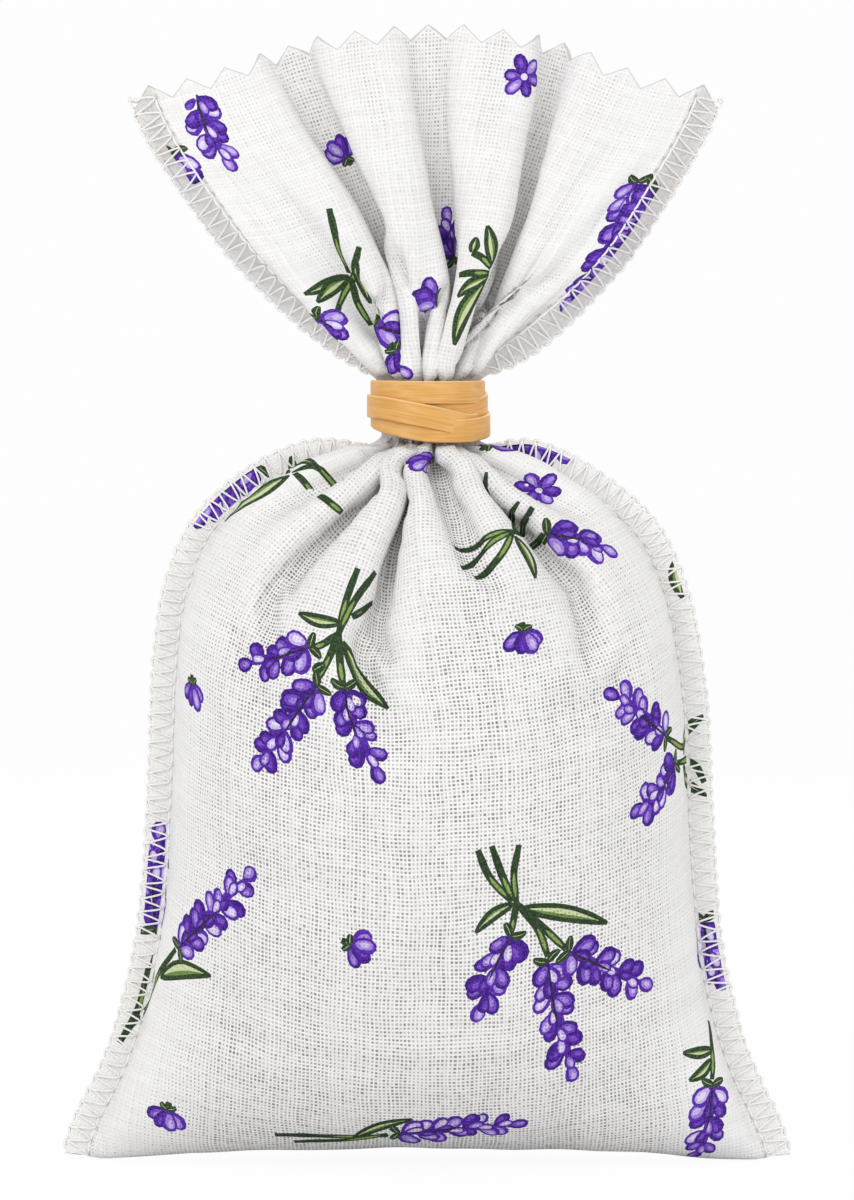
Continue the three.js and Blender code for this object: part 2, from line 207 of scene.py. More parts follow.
# The two small leaves at a flower's foot: turns in radians, and width as a share of length
CALYX_TURNS = (-1.15, 1.0)
CALYX_SWAY = 0.2
CALYX_WIDTH = 0.36
# Spikes, and the dark stalk in their lower part
SPIKE_CORE = 1.3
SPIKE_BEND_RANGE = (-0.05, 0.05)
SPIKE_CALYX = 2.3
STALK_POINTS = 6
STALK_WIDTH = 0.36
STALK_REACH = 0.52
# The petal at a spike's tip: length and width, how far below the tip it starts, and its shades
TIP_PETAL = (3.2, 2.6)
TIP_DEPTH = 3.0
TIP_SHADES = (1, 2)
# Pairs of petals: the length of tip without them, their spacing, and their sizes from the foot to the tip
BARE_TIP = 2.0
WHORL_STEP = 2.4
WHORL_STAGGER = 0.18
FOOT_SIZE = 1.1
SIZE_LOSS = 0.14
SPIKE_SIZE_RANGE = (0.9, 1.12)
SPIKE_WIDTH_RANGE = (0.7, 0.84)
SPIKE_SPREAD_RANGE = (0.62, 1.0)
SHADE_CHANCES = (0.28, 0.26, 0.28, 0.18)
# The smaller petal between a pair
MIDDLE_RISE = 0.3
MIDDLE_LENGTH = 0.8
MIDDLE_WIDTH = 0.56
MIDDLE_SPREAD_RANGE = (0.1, 0.3)
MIDDLE_SHADES = (0, 2, 3)
# A single flower: the places of its stem ahead of its foot, and its petals as turn in radians, shade
FLORET_STEM = (-1.3, -0.6, 0.3)
FLORET_PETALS = [(-0.95, 1), (0.9, 2), (-0.3, 0), (0.35, 2)]
FLORET_SIZE_RANGE = (0.95, 1.15)
FLORET_WIDTH_RANGE = (0.68, 0.8)
FLORET_CALYX = 1.5
# An open flower, and the radius of its pale eye
ROSETTE_PETALS = 6
ROSETTE_SWAY = 0.2
ROSETTE_SIZE_RANGE = (0.85, 1.05)
ROSETTE_WIDTH = 0.72
ROSETTE_SHADES = (1, 2, 0)
ROSETTE_EYE = 0.55
EYE_POINTS = 8
# How far the ink stays inside the cut sides and the pinked ends
SIDE_MARGIN = 0.35
SIDE_STAGGER = 0.004
SIDE_LINES = 50
END_MARGIN = 0.3
LEAST_WIDTH = 0.1

# Inks of the print
DEEP_VIOLET = "#3d1684"
VIOLET = "#5424a6"
SOFT_VIOLET = "#744ac4"
LILAC = "#a081dc"
PALE_LILAC = "#cbb8ee"
FROST = "#e6ddf8"
STALK = "#2a2333"
DARK_GREEN = "#2a4022"
LEAF_GREEN = "#688643"
STEM_GREEN = "#86a353"
PALE_GREEN = "#cdd6a4"
# Rim, body and heart of a petal, from the darkest petals to the palest
PETAL_INKS = [(DEEP_VIOLET, VIOLET, SOFT_VIOLET), (DEEP_VIOLET, SOFT_VIOLET, LILAC),
              (VIOLET, LILAC, PALE_LILAC), (VIOLET, PALE_LILAC, FROST)]

# The print as it shows from the front, in millimetres across and up.
# Flower spikes: (foot), (tip).
SPIKES = [
    ((-34.6, 160.4), (-29.0, 149.0)), ((-38.2, 151.4), (-35.6, 143.8)), ((3.7, 135.8), (2.5, 143.2)),
    ((-8.0, 125.3), (-2.6, 118.0)), ((31.4, 147.2), (20.4, 127.6)), ((-16.5, 126.8), (-12.0, 124.0)),
    ((34.2, 146.0), (21.2, 125.9)),
    ((-25.5, 104.4), (-34.8, 95.2)), ((18.0, 94.6), (28.4, 91.1)), ((11.0, 108.1), (21.6, 105.3)),
    ((-17.6, 77.2), (-28.4, 74.4)), ((-16.6, 71.4), (-26.2, 59.2)), ((-12.6, 71.4), (-7.0, 57.2)),
    ((35.6, 64.0), (26.4, 70.8)), ((37.2, 59.8), (30.4, 52.2)), ((-37.6, 32.2), (-26.0, 43.8)),
    ((-41.1, 35.0), (-40.4, 51.0)), ((12.6, 34.0), (7.0, 21.4)), ((17.8, 30.4), (21.8, 12.4)),
    ((21.2, 31.6), (33.6, 26.4)), ((41.4, 36.6), (44.4, 26.0)), ((42.6, 11.8), (39.4, 0.8)),
    ((-4.2, 4.4), (15.0, 6.0)),
]
# Single flowers: (foot), direction in degrees.
FLORETS = [
    ((-12.2, 150.6), 105), ((1.4, 129.7), 180), ((0.6, 105.4), 228), ((14.3, 79.6), 270),
    ((-5.0, 121.8), 300), ((9.4, 108.6), 340),
    ((-35.4, 71.8), 280), ((-11.6, 32.7), 342), ((-38.9, 7.9), 262),
]
# Open flowers, by their middles.
ROSETTES = [(14.4, 162.8), (16.6, 101.1)]
# Stems: the points that each one runs through.
STEMS = [
    [(-14.9, 143.1), (-13.9, 138.6), (-11.7, 133.4)], [(-10.4, 137.5), (-11.4, 134.0), (-13.8, 127.2)],
    [(-11.7, 132.8), (-10.4, 129.0), (-8.6, 125.8)], [(6.7, 136.4), (8.2, 135.6), (9.4, 134.3)],
    [(4.6, 133.0), (7.0, 133.4), (9.2, 133.4)],
    [(-20.4, 103.8), (-16.0, 104.0), (-12.8, 102.6)], [(-20.0, 103.6), (-18.3, 101.9), (-17.3, 100.9)],
    [(-16.5, 100.3), (-14.8, 98.9), (-13.0, 97.6)],
    [(4.0, 92.5), (8.4, 93.6), (12.9, 94.8)], [(5.0, 89.4), (8.6, 92.2), (12.9, 94.8)],
    [(7.0, 87.7), (10.6, 90.8), (12.9, 94.8)], [(12.9, 94.8), (17.4, 94.4)],
    [(13.2, 95.2), (15.6, 98.2)],
    [(-10.6, 89.2), (-12.4, 84.6), (-13.2, 79.8)], [(-8.0, 88.6), (-11.2, 84.4), (-13.2, 79.8)],
    [(-8.2, 84.0), (-11.4, 82.0)], [(-13.2, 79.8), (-14.6, 76.0), (-16.8, 72.0)],
    [(-13.4, 79.2), (-15.4, 77.8), (-17.4, 77.2)], [(-13.2, 79.4), (-13.2, 75.2), (-12.6, 71.8)],
    [(7.4, 46.8), (9.2, 43.0), (12.4, 39.2)], [(9.6, 47.6), (11.2, 42.8), (13.0, 39.2)],
    [(13.8, 47.6), (13.0, 43.4), (13.2, 39.0)], [(13.2, 39.0), (13.0, 36.6), (12.6, 34.4)],
    [(13.4, 39.0), (16.4, 35.0), (17.8, 31.0)], [(13.6, 38.6), (17.6, 35.0), (20.8, 32.0)],
    [(39.0, 66.0), (38.4, 62.6), (36.0, 63.8)], [(41.6, 57.0), (39.2, 60.4), (37.6, 60.0)],
    [(-37.8, 32.0), (-40.4, 29.0), (-44.8, 20.4)], [(-46.2, 18.0), (-43.4, 23.4), (-41.8, 29.2)],
    [(42.2, 21.4), (42.4, 17.0), (42.6, 12.4)],
    [(-23.0, 4.3), (-14.0, 3.9), (-6.0, 4.2)], [(-20.0, 3.2), (-12.0, 3.4), (-6.2, 4.2)],
]
# Leaves: (foot), (tip), width.
LEAVES = [
    ((-34.8, 161.0), (-31.6, 162.6), 1.3), ((-35.0, 160.8), (-37.6, 161.0), 1.1),
    ((-12.0, 133.2), (-18.4, 130.3), 1.7), ((-12.0, 132.6), (-16.8, 129.0), 1.8),
    ((-10.6, 135.2), (-8.8, 128.8), 2.1),
    ((9.6, 134.4), (8.9, 140.7), 1.7), ((6.6, 136.4), (7.4, 138.8), 1.3), ((9.2, 132.9), (4.6, 130.0), 1.5),
    ((9.0, 132.6), (3.8, 122.8), 1.9),
    ((-20.8, 103.4), (-30.6, 96.4), 2.2), ((-21.0, 104.0), (-25.0, 102.0), 1.2),
    ((-20.6, 106.2), (-16.4, 104.6), 1.6),
    ((12.9, 95.2), (8.9, 103.7), 1.8), ((13.0, 94.0), (16.2, 87.8), 1.9), ((12.8, 95.0), (13.6, 99.4), 1.2),
    ((-12.8, 81.0), (-19.4, 82.4), 1.6), ((-12.8, 78.2), (-5.8, 68.2), 2.2),
    ((-17.2, 73.6), (-15.4, 74.8), 1.0),
    ((13.6, 38.2), (26.8, 36.0), 2.0), ((13.0, 38.8), (7.0, 34.6), 1.5),
    ((38.6, 61.0), (41.6, 67.0), 1.5), ((38.4, 59.4), (42.2, 55.2), 1.5),
    ((-40.4, 27.9), (-32.4, 28.3), 2.4), ((-42.6, 25.4), (-41.0, 31.4), 1.4),
    ((42.4, 17.0), (38.2, 16.6), 1.4), ((42.4, 15.6), (39.0, 12.2), 1.5), ((36.6, 90.4), (38.4, 84.6), 1.8),
    ((-11.2, 3.8), (-2.2, 6.6), 1.5), ((-22.0, 128.6), (-20.0, 128.6), 1.2),
]
# One bunch as it is drawn on the flat cloth, with places from its knot.
# Cut ends of its stems, spikes as (foot), (tip), and leaves as (foot), (tip), width.
BUNCH_STEMS = [(-3.4, 8.2), (0.6, 9.2), (3.2, 7.4)]
BUNCH_SPIKES = [((-4.2, -2.8), (-13.5, -7.0)), ((-0.6, -6.0), (-3.6, -20.5)), ((3.4, -4.6), (10.4, -16.0))]
BUNCH_LEAVES = [((0.4, -0.6), (8.6, -5.8), 2.0), ((-0.3, 0.4), (-7.0, 2.0), 1.6)]
# Where the stems bend on their way from the knot: shares of their ends' places
BUNCH_STEM_BEND = (0.3, 0.5)
BUNCH_SPIKE_BEND = (0.4, 0.5)
# The back panel, whose places along the strip are below zero. Bunches: (knot), turn in degrees.
BACK_BUNCHES = [((-27.0, -30.0), 170), ((25.0, -40.0), 205), ((-6.0, -72.0), 150), ((34.0, -88.0), 175),
                ((-36.0, -98.0), 215), ((2.0, -112.0), 190), ((-22.0, -160.0), 165), ((27.0, -164.0), 200)]
# Single flowers: (foot), direction in degrees.
BACK_FLORETS = [((4.0, -28.0), 80), ((46.0, -22.0), 300), ((-46.0, -58.0), 200), ((24.0, -64.0), 20),
                ((-22.0, -84.0), 140), ((16.0, -96.0), 250), ((2.0, -176.0), 100), ((-46.0, -174.0), 60)]

# Seam threads
SEAM_SEED = 40
LOWER_SEED_STEP = 10
KNOT_SEED_STEP = 20
STITCH_LENGTH = 2.1
THREAD_RADIUS = 0.15
THREAD_SIDES = 6
SEAM_START = 1.2
SEAM_END = 2.2
STOP_BELOW_NECK = 2.6
START_ABOVE_NECK = 1.3
# The needle thread: points of each stitch, how high it rests in radii, and how deep and sharp it dips
NEEDLE_POINTS = 6
NEEDLE_REST = 0.75
NEEDLE_DIP = 0.3
NEEDLE_SHARPNESS = 6
# One stitch of the zigzag: place from the cut edge, share of the stitch, lift above the resting thread.
ZIGZAG = [(-SEAM_WIDTH - 0.1, 0.0, 0.1), (-0.4, 0.42, 0.05), (0.35, 0.5, -0.35), (-0.3, 0.58, 0.1)]
ZIGZAG_SWAY = 0.12
ZIGZAG_POINTS = 4
# Knots at the edge: place and half length as shares of a stitch, distance and reach past the edge
KNOT_POINTS = 7
KNOT_PLACE = 0.34
KNOT_HALF = 0.42
KNOT_GAP = 0.02
KNOT_REACH = 0.36
KNOT_REACH_RANGE = (0.8, 1.2)
KNOT_RADIUS = 0.24
KNOT_RADIUS_RANGE = (0.85, 1.1)

# The rubber band. Each turn has (height, radius of its middle line) at eight places round the neck.
# They are back, back left, left, front left, front, front right, right and back right.
BAND_WIDTH = 3.45
BAND_THICKNESS = 0.6
BAND_ROUNDING = 0.2
BAND_STEPS = 96
BAND_SMOOTHING = 16
BAND_TURNS = [
    [(115.5, 8.2), (115.6, 8.3), (115.7, 8.35), (115.75, 8.2),
     (115.7, 8.1), (115.7, 8.1), (115.75, 8.3), (115.4, 8.2)],
    [(114.6, 8.3), (113.8, 7.8), (113.0, 7.7), (112.4, 7.6),
     (112.3, 7.6), (112.5, 7.7), (113.8, 8.75), (114.4, 8.8)],
    [(113.2, 8.8), (112.8, 8.4), (112.3, 8.3), (111.2, 8.2),
     (109.95, 8.2), (109.95, 8.7), (110.8, 9.1), (112.0, 9.0)],
    [(112.8, 8.9), (113.3, 8.9), (113.65, 8.85), (113.4, 8.85),
     (112.2, 8.75), (110.6, 8.3), (111.2, 7.8), (113.0, 7.9)],
]

# Dried flowers
FILL_SEED = 3
HEAP_FOOT = 6.0
HEAP_TOP = 100.0
HEAP_LEVELS = 30
HEAP_SIDES = 48
HEAP_MARGIN = 4
HEAP_SHARE = 0.9
HEAP_ROOM = 1.6
HEAP_LEAST = 0.4
HEAP_LIFT = 1.2
HEAP_TAPER = 0.35
HEAP_TAPER_FROM = 0.7
HEAP_LEVELLING = 0.4
HEAP_SMOOTHING = 2
LUMPS = 0.025
BUDS = 700
BUD_SIZE_RANGE = (3.2, 4.6)
BUD_SCATTER = 0.8
BUD_SIDES = 6
BUD_PLUMPNESS = 0.62
BUD_GROOVE = 0.86
# A bud's outline: place along it, radius.
BUD_OUTLINE = [(-0.5, 0.16), (-0.3, 0.3), (0.05, 0.36), (0.35, 0.28), (0.5, 0.2)]

# The weave: its pitch, and how open its holes are in each part of the cloth, with their painted shade fainter
# on the ridges of folds and deeper in the valleys
WEAVE_PITCH = 0.6
HOLE_BY_SEAM = 0.1
HOLE_IN_MIDDLE = 0.27
POUCH_HOLES = 1.2
RUFFLE_HOLES = 0.6
SEAM_HOLES = 0.3
RIDGE_HOLES_PAINTED_LIGHT = 0.42
VALLEY_HOLES_PAINTED_SHADE = 1.2
# Unevenness of the threads that run along and across, and of whole patches
THREAD_UNEVEN = (("X", 0.17), ("Y", 0.09))
PATCH_UNEVEN = 0.1
PATCH_SCALE = 0.16
# How far the threads wander, and the scale of that
WEAVE_DRIFT = 1.1
WEAVE_DRIFT_SCALE = 0.11
# Single holes and crossings: usual size, softness of the rim, least depth of a hole's painted shade, and how
# far a thread dips under
PLAIN_HOLE = 0.2
HOLE_SOFTNESS = 0.1
LEAST_HOLE_DEPTH = 0.45
CROSSING_DIP = 0.3
# Shares of single threads and of long thick places in the tone, and what sets both directions' draws apart
THREAD_TONE = 0.4
SLUB_TONE = 0.6
SLUB_STRETCHES = ((1.6, 0.09, 1.0), (0.09, 1.6, 1.0))
GAP_SEED = 41.7
TONE_SEED = 17.3
# The pinked edge: how far its thin line of painted shade and its bare rim reach in from the cut
CUT_SHADE_LINE = 0.26
BARE_RIM = 0.75
# The flat distance in which the back's edge line gives way to the front's
PANEL_BLUR = 1.0

# Finishes: a ramp holds the two values between which it runs, then what it gives at each of them.
# A stretch is the scale of noise along each axis, and a bump holds its strength and its depth.
LINEN_ROUGHNESS = 0.9
LINEN_SPECULAR = 0.04
LINEN_TONES = (0.3, 1.3)
LINEN_BUMP = (0.5, 0.16)
SEAM_BLUR = 0.1
# Distances from the needle line within which the weave is tight, and from which it is open
TIGHT_WITHIN = 2.0
OPEN_FROM = 24.0
# Depths at which the cloth counts as a ridge, where the holes get painted light, and as a valley, where they
# get painted shade
RIDGE_DEPTH = -0.9
VALLEY_DEPTH = 0.7
# Painted shade in the creases beside the needle line, darker at each stitch's prick, and in a thin line along
# the cut
CREASE_OFFSET = 0.3
CREASE_RAMP = (0.36, 0.08, 0.0, 0.9)
PRICK_RAMP = (0.55, 0.2, 0.35, 1.0)
CUT_SHADE_RAMP = (CUT_SHADE_LINE, 0.1, 0.0, 0.6)
# Ink: how well it covers low and high threads, how much painted shade darkens the holes under it, and how it
# has washed out
INK_COVER_RAMP = (0.2, 0.8, 0.95, 1.0)
INKED_HOLE_SHADE = 0.55
WASH_STRETCH = (2.2, 2.2, 1.0)
WASH_DETAIL = 3.0
WASH_GAMMA = 0.72
WASH_RAMP = (0.42, 0.72, 0.0, 0.75)
# Sewing thread
THREAD_ROUGHNESS = 0.75
THREAD_SHEEN = 0.1
THREAD_TONES = (0.3, 0.7)
THREAD_BUMP = (0.35, 0.08)
YARN_SCALE = 4.0
PLY_SCALE = 1.0
PLY_WAVINESS = 1.5
FUZZ_SCALE = 0.7
# Rubber: fine streaks, broad pale clouds, a painted highlight on its upper edge and a painted shadow on its
# lower edge
STREAK_STRETCH = (0.12, 3.6, 1.0)
STREAK_DETAIL = 3.0
STREAK_TONES = (0.3, 0.7)
CLOUD_STRETCH = (0.25, 0.7, 1.0)
CLOUD_DETAIL = 1.0
CLOUD_RAMP = (0.4, 0.8, 0.0, 0.35)
UPPER_EDGE_HIGHLIGHT_RAMP = (0.43 * BAND_WIDTH, 0.48 * BAND_WIDTH, 0.0, 0.9)
LOWER_EDGE_SHADOW_RAMP = (-0.455 * BAND_WIDTH, -0.49 * BAND_WIDTH, 0.0, 0.7)
RUBBER_ROUGHNESS_RAMP = (0.2, 0.8, 0.36, 0.52)
RUBBER_SPECULAR = 0.4
RUBBER_BUMP = (0.12, 0.08)
# Dried flowers
FLOWER_ROUGHNESS = 0.95
SPOT_SCALE = 0.35
SPOT_DETAIL = 3.0
SPOT_TONES = (0.35, 0.65)
FIBRE_SCALE = 2.4
STRAW_RAMP = (0.5, 0.8, 0.0, 0.6)
FLOWER_BUMP = (0.6, 0.2)

# Colours, as linear light
WHITE = (1, 1, 1, 1)
LINEN_LIGHT = (0.92, 0.915, 0.905, 1)
LINEN_SHADE = (0.84, 0.83, 0.82, 1)
# The seam strip: painted light on the pouch, painted shade on the ruffle
POUCH_SEAM_PAINTED_LIGHT = (0.91, 0.895, 0.875, 1)
RUFFLE_SEAM_PAINTED_SHADE = (0.77, 0.745, 0.725, 1)
CREASE_SHADE = (0.55, 0.53, 0.51, 1)
# Painted shade seen through the weave's holes
HOLE_PAINTED_SHADE = (0.25, 0.225, 0.215, 1)
INK_SHADOW = (0.02, 0.01, 0.04, 1)
THREAD_SHADE = (0.94, 0.935, 0.925, 1)
THREAD_WHITE = (0.99, 0.988, 0.98, 1)
RUBBER_DEEP = (0.67, 0.33, 0.08, 1)
RUBBER_TAN = (0.79, 0.42, 0.118, 1)
# Pale rubber, used for clouds and for the painted highlight on the upper edge
RUBBER_PALE_AND_HIGHLIGHT = (0.92, 0.62, 0.27, 1)
RUBBER_EDGE_SHADOW = (0.4, 0.17, 0.04, 1)
BUD_VIOLET = (0.115, 0.085, 0.20, 1)
BUD_GREY = (0.24, 0.22, 0.20, 1)
STRAW = (0.40, 0.35, 0.24, 1)

# The stage and the view
FLOOR_GREY = (0.9, 0.9, 0.9, 1)
FLOOR_WHITE = 0.95
FLOOR_ROUGHNESS = 0.9
FLOOR_HALF = 3000.0
BACKDROP_WHITE = 0.985
SKY_STRENGTH = 0.72
FRAME_HEIGHT = 180.0
SENSOR_SIZE = 36.0
NEAREST_SEEN = 10.0
VIEW_MIDDLE = (-0.15, 0.0, 84.45)
VIEW_DISTANCE = 1300.0
VIEW_ELEVATION = 2.5
# Soft square lamps: name, place, power.
LAMP_SIZE = 500
LAMP_AIM = (0, 0, 85)
LAMPS = [("key", (-380, -620, 520), 2.0), ("fill", (520, -520, 260), 0.8), ("back", (260, 640, 420), 1.2)]


def unit(vectors):
    """The same directions at length one."""
    return vectors / (np.linalg.norm(vectors, axis=-1, keepdims=True) + TINY)


def spin_matrix(angle):
    """What turns rows of flat points by an angle in radians."""
    c = math.cos(angle)
    s = math.sin(angle)
    return np.array([[c, s], [-s, c]])


def left_of(run):
    """Flat directions turned to the left by a right angle."""
    return np.stack([-run[..., 1], run[..., 0]], axis=-1)


def towards(angle):
    """The flat direction at an angle in radians."""
    return np.array([math.cos(angle), math.sin(angle)])


def reach_between(foot, tip):
    """The step between two flat points, its length, and the directions along it and to its left."""
    span = tip - foot
    length = np.linalg.norm(span)
    run = span / length
    return span, length, run, left_of(run)


def smooth_line(points, per_span=16):
    """Points of a smooth curve through the given points."""
    p = np.array(points, dtype=float)
    p = np.vstack([2 * p[0] - p[1], p, 2 * p[-1] - p[-2]])
    t = np.linspace(0, 1, per_span, endpoint=False)[:, None]
    spans = []
    for a, b, c, d in zip(p[:-3], p[1:-2], p[2:-1], p[3:]):
        spans.append(b + 0.5 * t * (c - a + t * (2 * a - 5 * b + 4 * c - d + t * (3 * (b - c) + d - a))))
    return np.vstack(spans + [p[-2:-1]])


def line_lengths(line):
    """How far each point of a line lies from its start, along the line."""
    steps = np.linalg.norm(np.diff(line, axis=0), axis=1)
    return np.concatenate([[0], np.cumsum(steps)])


def between(values, known, places):
    """Rows of values at places between those at which they are known."""
    return np.stack([np.interp(places, known, column) for column in values.T], axis=1)


def at_shares(line, shares):
    """Points of a line at the given shares of its length."""
    length = line_lengths(line)
    return between(line, length, shares * length[-1])


def along_panel(pouch, neck, ruffle, rows):
    """Places of the rows on a line that runs up the pouch, through the neck and up the ruffle."""
    low = at_shares(smooth_line(pouch), np.clip(rows / NECK_FROM, 0, 1))
    mid = at_shares(np.array(neck, dtype=float), np.clip((rows - NECK_FROM) / (NECK_TO - NECK_FROM), 0, 1))
    share = np.clip((rows - NECK_TO) / (PANEL_LENGTH - NECK_TO), 0, 1)
    high = at_shares(smooth_line(ruffle), share)
    rows = rows[:, None]
    return np.where(rows <= NECK_FROM, low, np.where(rows < NECK_TO, mid, high))


def clear_of_band(radius, height, below, above):
    """Heights moved out of the band's place: down for cloth below the neck, up for cloth above it."""
    near = radius < BAND_OUTER
    low = np.minimum(height, NECK_LOW - BAND_ROOM)
    high = np.maximum(height, NECK_HIGH + BAND_ROOM)
    return np.where(near & below, low, np.where(near & above, high, height))


def seam_lines(pouch, ruffle, side, rows):
    """The seam's edge and its stitched inner line as (x, z) for each row, on one side of the sachet."""
    neck = [(NECK_EDGE, NECK_LOW), (NECK_EDGE, NECK_HIGH)]
    edge = along_panel(pouch, neck, ruffle, rows)
    for _ in range(EDGE_SMOOTHING):
        edge[1:-1] = (edge[:-2] + 2 * edge[1:-1] + edge[2:]) / 4
    below = rows < NECK_FROM
    above = rows > NECK_TO
    edge[:, 1] = clear_of_band(edge[:, 0], edge[:, 1], below, above)
    edge[~below & ~above, 0] = NECK_EDGE
    run = unit(np.gradient(edge, axis=0))
    in_neck = np.exp(-(((rows - NECK_MIDDLE) / NECK_REACH) ** 4))
    width = SEAM_COLUMNS * STEP_U * (1 - NECK_NARROWING * in_neck)
    inner = edge + left_of(run) * width[:, None]
    return edge * [side, 1], inner * [side, 1]


def valley_wave(valleys, places, from_neck):
    """A level line with rounded valleys, which wander as they run away from the neck."""
    run = min(from_neck / VALLEY_RUN, 1.0)
    wave = np.zeros_like(places)
    for near, far, half_width, depth in valleys:
        at = near + (far - near) * run
        wave -= depth * half_width * np.exp(-((places - at) / half_width) ** 2)
    return wave


def steps_across(rows):
    """The spacing of the grid across, for each row."""
    drawn = np.clip((np.abs(rows) - NECK_TO) / EASE_RUN, 0, 1)
    return STEP_U * (1 - RUFFLE_EASE * drawn)


def folded_steps(rise, step, length):
    """Steps down and along of a wavy row, scaled so that the row just fits into a length."""
    low = 0.0
    high = LARGEST_SCALE
    for _ in range(HALVINGS):
        scale = (low + high) / 2
        dip = np.clip(scale * rise, -STEEPEST * step, STEEPEST * step)
        run = np.sqrt(step ** 2 - dip ** 2)
        if run.sum() > length:
            low = scale
        else:
            high = scale
    return dip, run


def gathered_row(envelope, outward, wave, step, deepest):
    """Places cloth of full length along an envelope, with the spare length in folds below its surface."""
    length = line_lengths(envelope)
    dip, run = folded_steps(np.diff(wave), step, length[-1])
    place = np.concatenate([[0], np.cumsum(run)])
    place *= length[-1] / place[-1]
    depth = np.concatenate([[0], np.cumsum(dip)])
    depth -= np.linspace(0, 1, len(depth)) * depth[-1]
    depth -= depth.max()
    depth *= min(1.0, deepest / max(-depth.min(), TINY))
    fade = np.sin(np.linspace(0, math.pi, len(depth))) ** FOLD_FADE
    base = between(envelope, length, place)
    normal = between(outward, length, place)
    return base + normal * (depth * fade)[:, None]


def row_envelope(a, b, depth, height, side):
    """A row's outer line from seam to seam, bulged by the fill, with its outward directions."""
    angle = np.linspace(0, math.pi, ENVELOPE_POINTS)
    flat = (a + b) / 2 - np.cos(angle)[:, None] * (b - a) / 2
    lift = (height - (a[1] + b[1]) / 2) * np.sin(angle) ** 2
    bulge = side * (LAYER_GAP + depth * np.sin(angle))
    half = max((b[0] - a[0]) / 2, 1.0)
    outward = np.stack([-np.cos(angle) / half, side * np.sin(angle) / max(depth, 1.0), 0 * angle], axis=1)
    return np.stack([flat[:, 0], bulge, flat[:, 1] + lift], axis=1), unit(outward)


def fold_wave(row, places):
    """The wave of a row's folds: even gathers at the neck, a few wide valleys away from it."""
    from_neck = max(NECK_FROM - row, row - NECK_TO, 0.0)
    away = min(from_neck / GATHER_REACH, 1.0)
    gathers = NECK_WAVE * np.cos(places / HALF_WIDTH * NECK_GATHERS * math.pi)
    valleys = POUCH_VALLEYS if row < NECK_TO else RUFFLE_VALLEYS
    return gathers * (1 - away) + valley_wave(valleys, places, from_neck) * away


def panel_start(front, rows, across):
    """The gathered panel before it settles: one line of points for each row."""
    side = -1.0 if front else 1.0
    left_edge, left_inner = seam_lines(LEFT_POUCH_EDGE, LEFT_RUFFLE_EDGE, -1, rows)
    right_edge, right_inner = seam_lines(RIGHT_POUCH_EDGE, RIGHT_RUFFLE_EDGE, 1, rows)
    neck = [(NECK_HALF_DEPTH, NECK_LOW), (NECK_HALF_DEPTH, NECK_HIGH)]
    middle = along_panel(POUCH_MIDDLE, neck, RUFFLE_MIDDLE, rows)
    inner = slice(SEAM_COLUMNS, COLUMNS + 1 - SEAM_COLUMNS)
    steps = steps_across(rows)
    grid = np.zeros((len(rows), COLUMNS + 1, 3))
    for k, row in enumerate(rows):
        a = left_inner[k]
        b = right_inner[k]
        depth, height = middle[k]
        envelope, outward = row_envelope(a, b, depth, height, side)
        flatness = np.clip((row - NECK_TO) / FLATTEN_RUN, 0, 1)
        outward = outward * (1 - flatness) + np.array([0, side, 0]) * flatness
        in_neck = NECK_FROM - NECK_MARGIN < row < NECK_TO + NECK_MARGIN
        deepest = NECK_FOLD_DEPTH if in_neck else FOLD_DEPTH
        wave = fold_wave(row, -side * across[inner])
        points = gathered_row(envelope, outward, wave, steps[k], deepest)
        if row > NECK_TO:
            points[:, 1] -= flatness * side * np.min(side * points[:, 1])
        grid[k, inner] = points
        for j in range(SEAM_COLUMNS):
            share = j / SEAM_COLUMNS
            left = left_edge[k] * (1 - share) + a * share
            right = right_edge[k] * (1 - share) + b * share
            grid[k, j] = [left[0], side * LAYER_GAP, left[1]]
            grid[k, COLUMNS - j] = [right[0], side * LAYER_GAP, right[1]]
    return grid


def pull_together(points, free, first, second, rest, stiffness, only_push):
    """Brings pairs of points towards their rest distance."""
    gap = points[second] - points[first]
    length = np.sqrt((gap * gap).sum(axis=-1)) + TINY
    off = length - rest
    if only_push:
        off = np.minimum(off, 0)
    w_a = free[first]
    w_b = free[second]
    share = stiffness * off / (length * np.maximum(w_a + w_b, TINY))
    points[first] += gap * (share * w_a)[..., None]
    points[second] -= gap * (share * w_b)[..., None]


def grid_pairs(shape, row_gap, column_gap):
    """Slices of a grid that pair each point with a neighbour, in groups that share no point."""
    rows, columns = shape
    groups = []
    if row_gap == 0:
        for start in range(2 * column_gap):
            first = slice(start, columns - column_gap, 2 * column_gap)
            second = slice(start + column_gap, columns, 2 * column_gap)
            groups.append(((slice(None), first), (slice(None), second)))
        return groups
    left = slice(max(-column_gap, 0), columns - max(column_gap, 0))
    right = slice(max(column_gap, 0), columns - max(-column_gap, 0))
    for start in range(2 * row_gap):
        first = slice(start, rows - row_gap, 2 * row_gap)
        second = slice(start + row_gap, rows, 2 * row_gap)
        groups.append(((first, left), (second, right)))
    return groups


def outward_normals(grid):
    """Unit normals of the strip, pointing out of the sachet."""
    return unit(np.cross(np.gradient(grid, axis=1), np.gradient(grid, axis=0)))


def free_points(shape, rows):
    """One for points that may move, zero for those held by the seams, the neck and the bottom fold."""
    free = np.ones(shape)
    free[:, : SEAM_COLUMNS + 1] = 0
    free[:, COLUMNS - SEAM_COLUMNS:] = 0
    distance = np.abs(rows)
    free[(distance > NECK_FROM - NECK_HOLD) & (distance < NECK_TO + NECK_HOLD)] = 0
    free[distance < FOLD_HOLD] = 0
    return free


